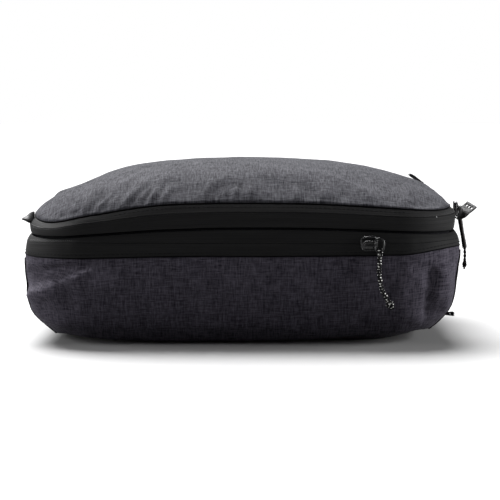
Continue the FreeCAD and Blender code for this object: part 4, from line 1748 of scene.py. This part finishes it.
def route_line(points: tuple[tuple[float, float, float], ...]) -> Points:
    """Read the points of a cord's smooth line, in millimetres.

    Args:
        points: the route's points in millimetres.

    Returns:
        The line's points, close together.
    """
    data = bpy.data.curves.new("route", "CURVE")
    data.dimensions = "3D"
    data.resolution_u = 16
    spline = data.splines.new("NURBS")
    spline.points.add(len(points) - 1)
    for spot, place in zip(spline.points, points):
        spot.co = (place[0] * MM, place[1] * MM, place[2] * MM, 1.0)
    spline.order_u = 3
    spline.use_endpoint_u = True
    holder = linked("route", data)
    bpy.context.view_layer.update()
    mesh = bpy.data.meshes.new_from_object(holder)
    line = np.array([v.co for v in mesh.vertices], float) / MM
    bpy.data.objects.remove(holder)
    return line


@dataclass
class Pull:
    """A cord pull: the cord, the knot at its end and what is on it."""

    name: str
    route: tuple[tuple[float, float, float], ...]
    thick: float
    body: str
    finish: str
    wardrobe: Wardrobe
    bar_spot: tuple[float, float, float]
    bar_turn: float
    length: float
    knot_size: float
    sleeve: tuple[float, float, float] | None = None

    def _evenly(self, line: Points, step: float) -> Points:
        """Points of the line at even steps.

        Args:
            line: the line's points.
            step: the distance between points.

        Returns:
            The new points.
        """
        run = run_length(line)
        at = np.linspace(0, run[-1], max(int(run[-1] / step), 8))
        return np.column_stack([np.interp(at, run, line[:, k]) for k in range(3)])

    def build(self) -> None:
        """Make and dress the pull."""
        line = self._evenly(route_line(self.route), 0.45)
        run = run_length(line)
        tangents = np.gradient(line, axis=0)
        tangents /= np.linalg.norm(tangents, axis=1)[:, None]
        side = np.cross(tangents, (0, 1, 0) if self.bar_turn == 0 else (1, 0, 0))
        side /= np.linalg.norm(side, axis=1)[:, None]
        deep = np.cross(tangents, side)
        strands = []
        for phase in (0, math.pi):
            angle = 2 * math.pi * run / LAY + phase
            shift = self.thick * 0.24
            path = line + shift * (np.cos(angle)[:, None] * side + np.sin(angle)[:, None] * deep)
            strands.append(tube("strand", path, self.thick * 0.27, 10))
        cord = join(f"{self.name}_cord", strands)
        self.wardrobe.dress(cord, self.finish, self.body, f"{self.name}_pull_cord")
        pieces = [self._loop(), self._knot(line[-1], tangents[-1], side[-1])]
        if self.sleeve:
            inside = (line[:, 2] < self.sleeve[0]) & (line[:, 2] > self.sleeve[1])
            cover = line[inside]
            flare = 1 + 0.05 * np.cos(np.linspace(0, 2 * math.pi, len(cover)))
            tube_piece = tube(f"{self.name}_sleeve", cover, self.sleeve[2] / 2 * flare, 16)
            self.wardrobe.dress(tube_piece, "pull_sleeve", self.body, f"{self.name}_pull_sleeve")
            pieces.append(tube_piece)

    def _loop(self) -> bpy.types.Object:
        """The turn of cord round the wire ring.

        Returns:
            The hitch.
        """
        spot = np.array(self.bar_spot)
        start = np.array(self.route[0])
        turn = math.radians(self.bar_turn)
        along = np.array((math.cos(turn), math.sin(turn), 0.0))
        out = np.array((math.sin(turn), -math.cos(turn), 0.0))
        radius, wire = 0.8 + self.thick * 0.27, self.thick * 0.26
        loops = []
        for shift in (-wire * 1.02, wire * 1.02):
            path = []
            for angle in np.radians(np.linspace(-150, 150, 22)):
                path.append(spot + along * shift + radius
                            * (math.cos(angle) * np.array((0, 0, 1.0)) + math.sin(angle) * out))
            path = [start + along * shift * 0.6 - np.array((0, 0, 0.6))] + path[::-1] + [start
                    + along * shift * 0.6 - np.array((0, 0, 0.6)) - out * 0.5]
            loops.append(tube("turn", np.array(path), wire, 9))
        piece = join(f"{self.name}_hitch", loops)
        return self.wardrobe.dress(piece, self.finish, self.body)

    def _knot(self, end: Points, down: Points, side: Points) -> bpy.types.Object:
        """An overhand knot with two short tails.

        Args:
            end: where the cord ends.
            down: the cord's direction there.
            side: a direction across it.

        Returns:
            The knot.
        """
        size = self.knot_size / 2
        deep = np.cross(down, side)
        turns = np.linspace(0, 2 * math.pi, 72, endpoint=False)
        x = (np.sin(turns) + 2 * np.sin(2 * turns)) / 3
        z = (np.cos(turns) - 2 * np.cos(2 * turns)) / 3
        y = -np.sin(3 * turns) * 0.42
        wire = self.thick * 0.30
        reach = size - wire * 0.8
        middle = end + down * size * 0.55
        path = middle + reach * (x[:, None] * side * 0.85 + z[:, None] * down + y[:, None] * deep)
        parts = [tube("knot", path, wire, 10, closed=True)]
        for sign in (-1, 1):
            tail = np.array([middle, middle + down * size * 0.7 + side * sign * 0.5,
                             middle + down * (size * 1.25) + side * sign * 1.0 + deep * 0.3
                             * sign])
            parts.append(tube("tail", tail, [wire, wire, wire * 0.9], 9))
        piece = join(f"{self.name}_knot", parts)
        return self.wardrobe.dress(piece, self.finish, self.body, f"{self.name}_pull_knot")


# ---------------------------------------------------------------- tabs
@dataclass
class Tabs:
    """The small webbing tabs and the sewn-in end tag."""

    wardrobe: Wardrobe
    wall: float = 1.1

    def _fold(self, name: str, profile: Points, across: Points, width: float, wall: float,
              steps: int = 7) -> bpy.types.Object:
        """Webbing bent along a profile, its width across it.

        Args:
            name: the piece's name.
            profile: the points of its bend.
            across: the direction of its width.
            width: its width.
            wall: its thickness.
            steps: the points across it.

        Returns:
            The webbing.
        """
        rows = np.array([[p + across * w for w in np.linspace(-width / 2, width / 2, steps)]
                         for p in profile])
        return thicken(strip(name, rows, False), wall, level=1, outward=0)

    def build(self) -> None:
        """Make and dress the tabs."""
        across = np.array((0.0, 1.0, 0.0))
        rows = []
        for t in np.linspace(0, 1, 12):
            axis = np.array((0.0, 0.3, 0.95)) * (1
                                                 - smoothstep(t)) + np.array((0.1, 0.98,
                                                         0.1)) * smoothstep(t)
            axis /= np.linalg.norm(axis)
            rows.append([np.array((-138.0 - 7.6 * t, -77.5 + 0.6 * t, 82.0 - 0.6 * t)) + axis * w
                         for w in np.linspace(-4.2, 4.2, 8)])
        left = thicken(strip("left_tab_strap", np.array(rows), False), 1.5, level=1, outward=0)
        self.wardrobe.dress(left, "webbing", None, "left_tab")
        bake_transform(left)
        self._slotted()
        lean = math.radians(32)
        tilt = np.array((-math.cos(lean), 0, math.sin(lean)))
        lift = np.array((math.sin(lean), 0, math.cos(lean)))
        root = np.array((137.0, 88.0, 98.2))
        back = self._fold("back_tab_loop",
                          self._curve([root, root + tilt * 4 + lift * 0.3,
                                       root + tilt * 9 + lift * 0.9,
                                       root + tilt * 12.2 + lift * 0.7,
                                                        root + tilt * 12.8 - lift * 0.1,
                                                        root + tilt * 11 - lift * 0.45,
                                                        root + tilt * 3 - lift * 0.6]), across, 9,
                          1.2)
        self.wardrobe.dress(back, "webbing", None, "back_tab")
        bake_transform(back)
        tag = []
        for sign in (1, -1):
            tag.append(self._fold("tag",
                                  self._curve([(132.5, -72, 17.0), (136.2, -72, 17.0 + 0.3 * sign),
                                               (139.0, -72, 17 + 0.75 * sign),
                                               (141.2, -72, 17 + 1.0 * sign),
                                                      (141.6, -72, 17 + 0.5 * sign),
                                                      (139.6, -72, 17 + 0.2 * sign)]), across, 5.4,
                                  0.8))
        self.wardrobe.dress(join("end_tag_loop", tag), "binding", "base", "end_tag")

    @staticmethod
    def _curve(points: list) -> Points:
        """A smooth line through a few points.

        Args:
            points: the points it passes.

        Returns:
            The line's points.
        """
        points = np.array([tuple(p) for p in points], float)
        at = np.arange(len(points))
        fine = np.linspace(0, len(points) - 1, 4 * (len(points) - 1) + 1)
        line = np.column_stack([np.interp(fine, at, points[:, k]) for k in range(3)])
        for _ in range(3):
            line[1:-1] = 0.25 * line[:-2] + 0.5 * line[1:-1] + 0.25 * line[2:]
        return line

    def _slotted(self) -> None:
        """The twisted strap with a row of three slots near its free edge."""
        reach = np.array((0.783, 0.414, 0.464))
        width = np.array((0.593, -0.713, -0.374))
        root = np.array((143.6, -76.0, 84.6))
        upright = np.array((0.15, -0.25, 0.95))
        upright /= np.linalg.norm(upright)
        length, breadth = 12.2, 9.0
        rows, nodes = 31, 28
        points = np.zeros((rows, nodes, 3))
        for r, t in enumerate(np.linspace(0, 1, rows)):
            turn = smoothstep(np.array(t / 0.5))
            axis = -upright * (1 - turn) + width * turn
            axis /= np.linalg.norm(axis)
            middle = root + reach * length * t + np.array((0.0, 0.0, -0.7)) * math.sin(math.pi * t)
            for c, w in enumerate(np.linspace(-0.5, 0.5, nodes)):
                points[r, c] = middle + axis * breadth * w
        faces = []
        for r in range(rows - 1):
            for c in range(nodes - 1):
                along = (r + 0.5) / (rows - 1)
                column = (c + 0.5) / (nodes - 1)
                slot = any(abs(column - centre) < 0.085
                           for centre in (0.24, 0.5, 0.76)) and 0.70 < along < 0.87
                if not slot:
                    faces.append((r * nodes + c, (r + 1) * nodes + c, (r + 1) * nodes + c + 1,
                                  r * nodes + c + 1))
        piece = mesh_object("right_tab_strap", points.reshape(-1, 3), faces)
        thicken(piece, self.wall, outward=0)
        self.wardrobe.dress(piece, "webbing", None, "right_tab")
        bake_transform(piece)


# ---------------------------------------------------------------- studio
@dataclass
class Studio:
    """Pale floor, soft lamps and the camera."""

    aim: tuple[float, float, float] = (0.005, -0.115, 0.0632)
    distance: float = 1.07
    lens: float = 120.0
    pitch: float = 4.5

    def _lamp(self, name: str, place: tuple, size: float, power: float, target: tuple) -> None:
        """A square soft lamp that faces a point.

        Args:
            name: the lamp's name.
            place: where it stands, in metres.
            size: the length of its side.
            power: its power in watts.
            target: the point it faces.
        """
        data = bpy.data.lights.new(name, "AREA")
        data.shape = "SQUARE"
        data.size = size
        data.energy = power
        lamp = linked(name, data)
        lamp.location = place
        lamp.rotation_euler = (Vector(target) - Vector(place)).to_track_quat("-Z", "Y").to_euler()

    def build(self) -> None:
        """Set the floor, the lamps, the sky and the camera."""
        mesh = bpy.data.meshes.new("studio_floor")
        mesh.from_pydata([(-40, -40, 0), (40, -40, 0), (40, 40, 0), (-40, 40, 0)], [],
                         [(0, 1, 2, 3)])
        floor = linked("studio_floor", mesh)
        paper = bpy.data.materials.new("studio_paper")
        paper.use_nodes = True
        wires = Wiring(paper.node_tree)
        place = wires.add("ShaderNodeTexCoord").outputs["Object"]
        grain = wires.grain(place, 260.0)
        tone = wires.blend(grain, (0.166, 0.166, 0.167, 1), (0.172, 0.172, 0.172, 1))
        shader = wires.add("ShaderNodeBsdfPrincipled",
                           {"Base Color": tone, "Roughness": 0.8, "Specular IOR Level": 0.2})
        wires.add("ShaderNodeOutputMaterial", {"Surface": shader.outputs[0]})
        floor.data.materials.append(paper)
        floor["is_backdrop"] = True
        data = bpy.data.lights.new("ceiling_lamp", "SUN")
        data.energy = 22.6
        data.angle = math.radians(50)
        lamp = linked("ceiling_lamp", data)
        lamp.rotation_euler = (math.radians(-34), math.radians(-16), 0)
        self._lamp("left_lamp", (-1.5, -0.16, 0.42), 0.9, 34.0, (-0.1, -0.08, 0.05))
        self._lamp("right_lamp", (1.5, -0.16, 0.42), 0.9, 50.0, (0.1, -0.08, 0.05))
        world = bpy.data.worlds.new("studio_air")
        world.use_nodes = True
        sky = Wiring(world.node_tree)
        seen = sky.add("ShaderNodeLightPath").outputs["Is Camera Ray"]
        dim = sky.add("ShaderNodeBackground", {"Color": (1, 1, 1, 1), "Strength": 0.07})
        white = sky.add("ShaderNodeBackground", {"Color": (1, 1, 1, 1), "Strength": 1.0})
        glow = sky.add("ShaderNodeMixShader", {0: seen, 1: dim.outputs[0], 2: white.outputs[0]})
        sky.add("ShaderNodeOutputWorld", {"Surface": glow.outputs[0]})
        bpy.context.scene.world = world
        bpy.context.scene.view_settings.view_transform = "Standard"
        data = bpy.data.cameras.new("camera")
        data.lens = self.lens
        data.sensor_width = 36.0
        camera = linked("camera", data)
        angle = math.radians(self.pitch)
        camera.location = Vector(self.aim) + self.distance * Vector((0, -math.cos(angle),
                math.sin(angle)))
        camera.rotation_euler = (Vector(self.aim) - camera.location).to_track_quat("-Z",
                "Y").to_euler()
        bpy.context.scene.camera = camera


def corners() -> list[list[float]]:
    """The whole object's box as plain lists."""
    low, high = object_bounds()
    return [[float(v) for v in low], [float(v) for v in high]]


def main() -> None:
    """Build the bag piece by piece."""
    logging.basicConfig(level=logging.INFO, format="%(message)s")
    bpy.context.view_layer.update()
    Studio().build()
    wardrobe = Wardrobe()
    plan = Plan()
    seams = Seams(plan, Repeats(wardrobe))
    Tub(plan, wardrobe).build()
    Lid(plan, wardrobe).build()
    Bands(plan, wardrobe, seams).build()
    front = Facing(Vector((81.5, -115.3, 67.5)), 0.0)
    side = Facing(Vector((142.3, -60.0, 87.0)), 90.0)
    Slider("front", front, "front_slider", wardrobe).build()
    Slider("side", side, "side_slider", wardrobe).build()
    Bail("front_bail", "front_bail", Vector((87.8, -117.9, 66.5)), 0.0, wardrobe).build()
    Bail("side_bail", "side_bail", Vector((144.9, -53.2, 86.0)), 90.0, wardrobe).build()
    Pull("front", ((88.2, -119.1, 60.2), (87.6, -119.4, 51.2), (88.2, -119.6, 43.0),
                   (90.1, -119.5, 36.2), (93.6, -119.2, 30.4)), 3.2,
         "front_pull", "pull_cord", wardrobe, (88.2, -117.9, 62.1), 0.0, 32.1, 6.4).build()
    Pull("side", ((147.2, -54.2, 79.9), (148.4, -54.1, 72.4), (149.9, -54.3, 64.8),
                  (151.0, -54.2, 57.2), (150.7, -54.0, 50.0)), 2.0,
         "side_pull", "plain_cord", wardrobe, (144.9, -53.7, 81.6), 90.0, 30.2, 5.0,
         sleeve=(79.6, 60.0, 3.0)).build()
    Tabs(wardrobe).build()


if __name__ == "__main__":
    main()
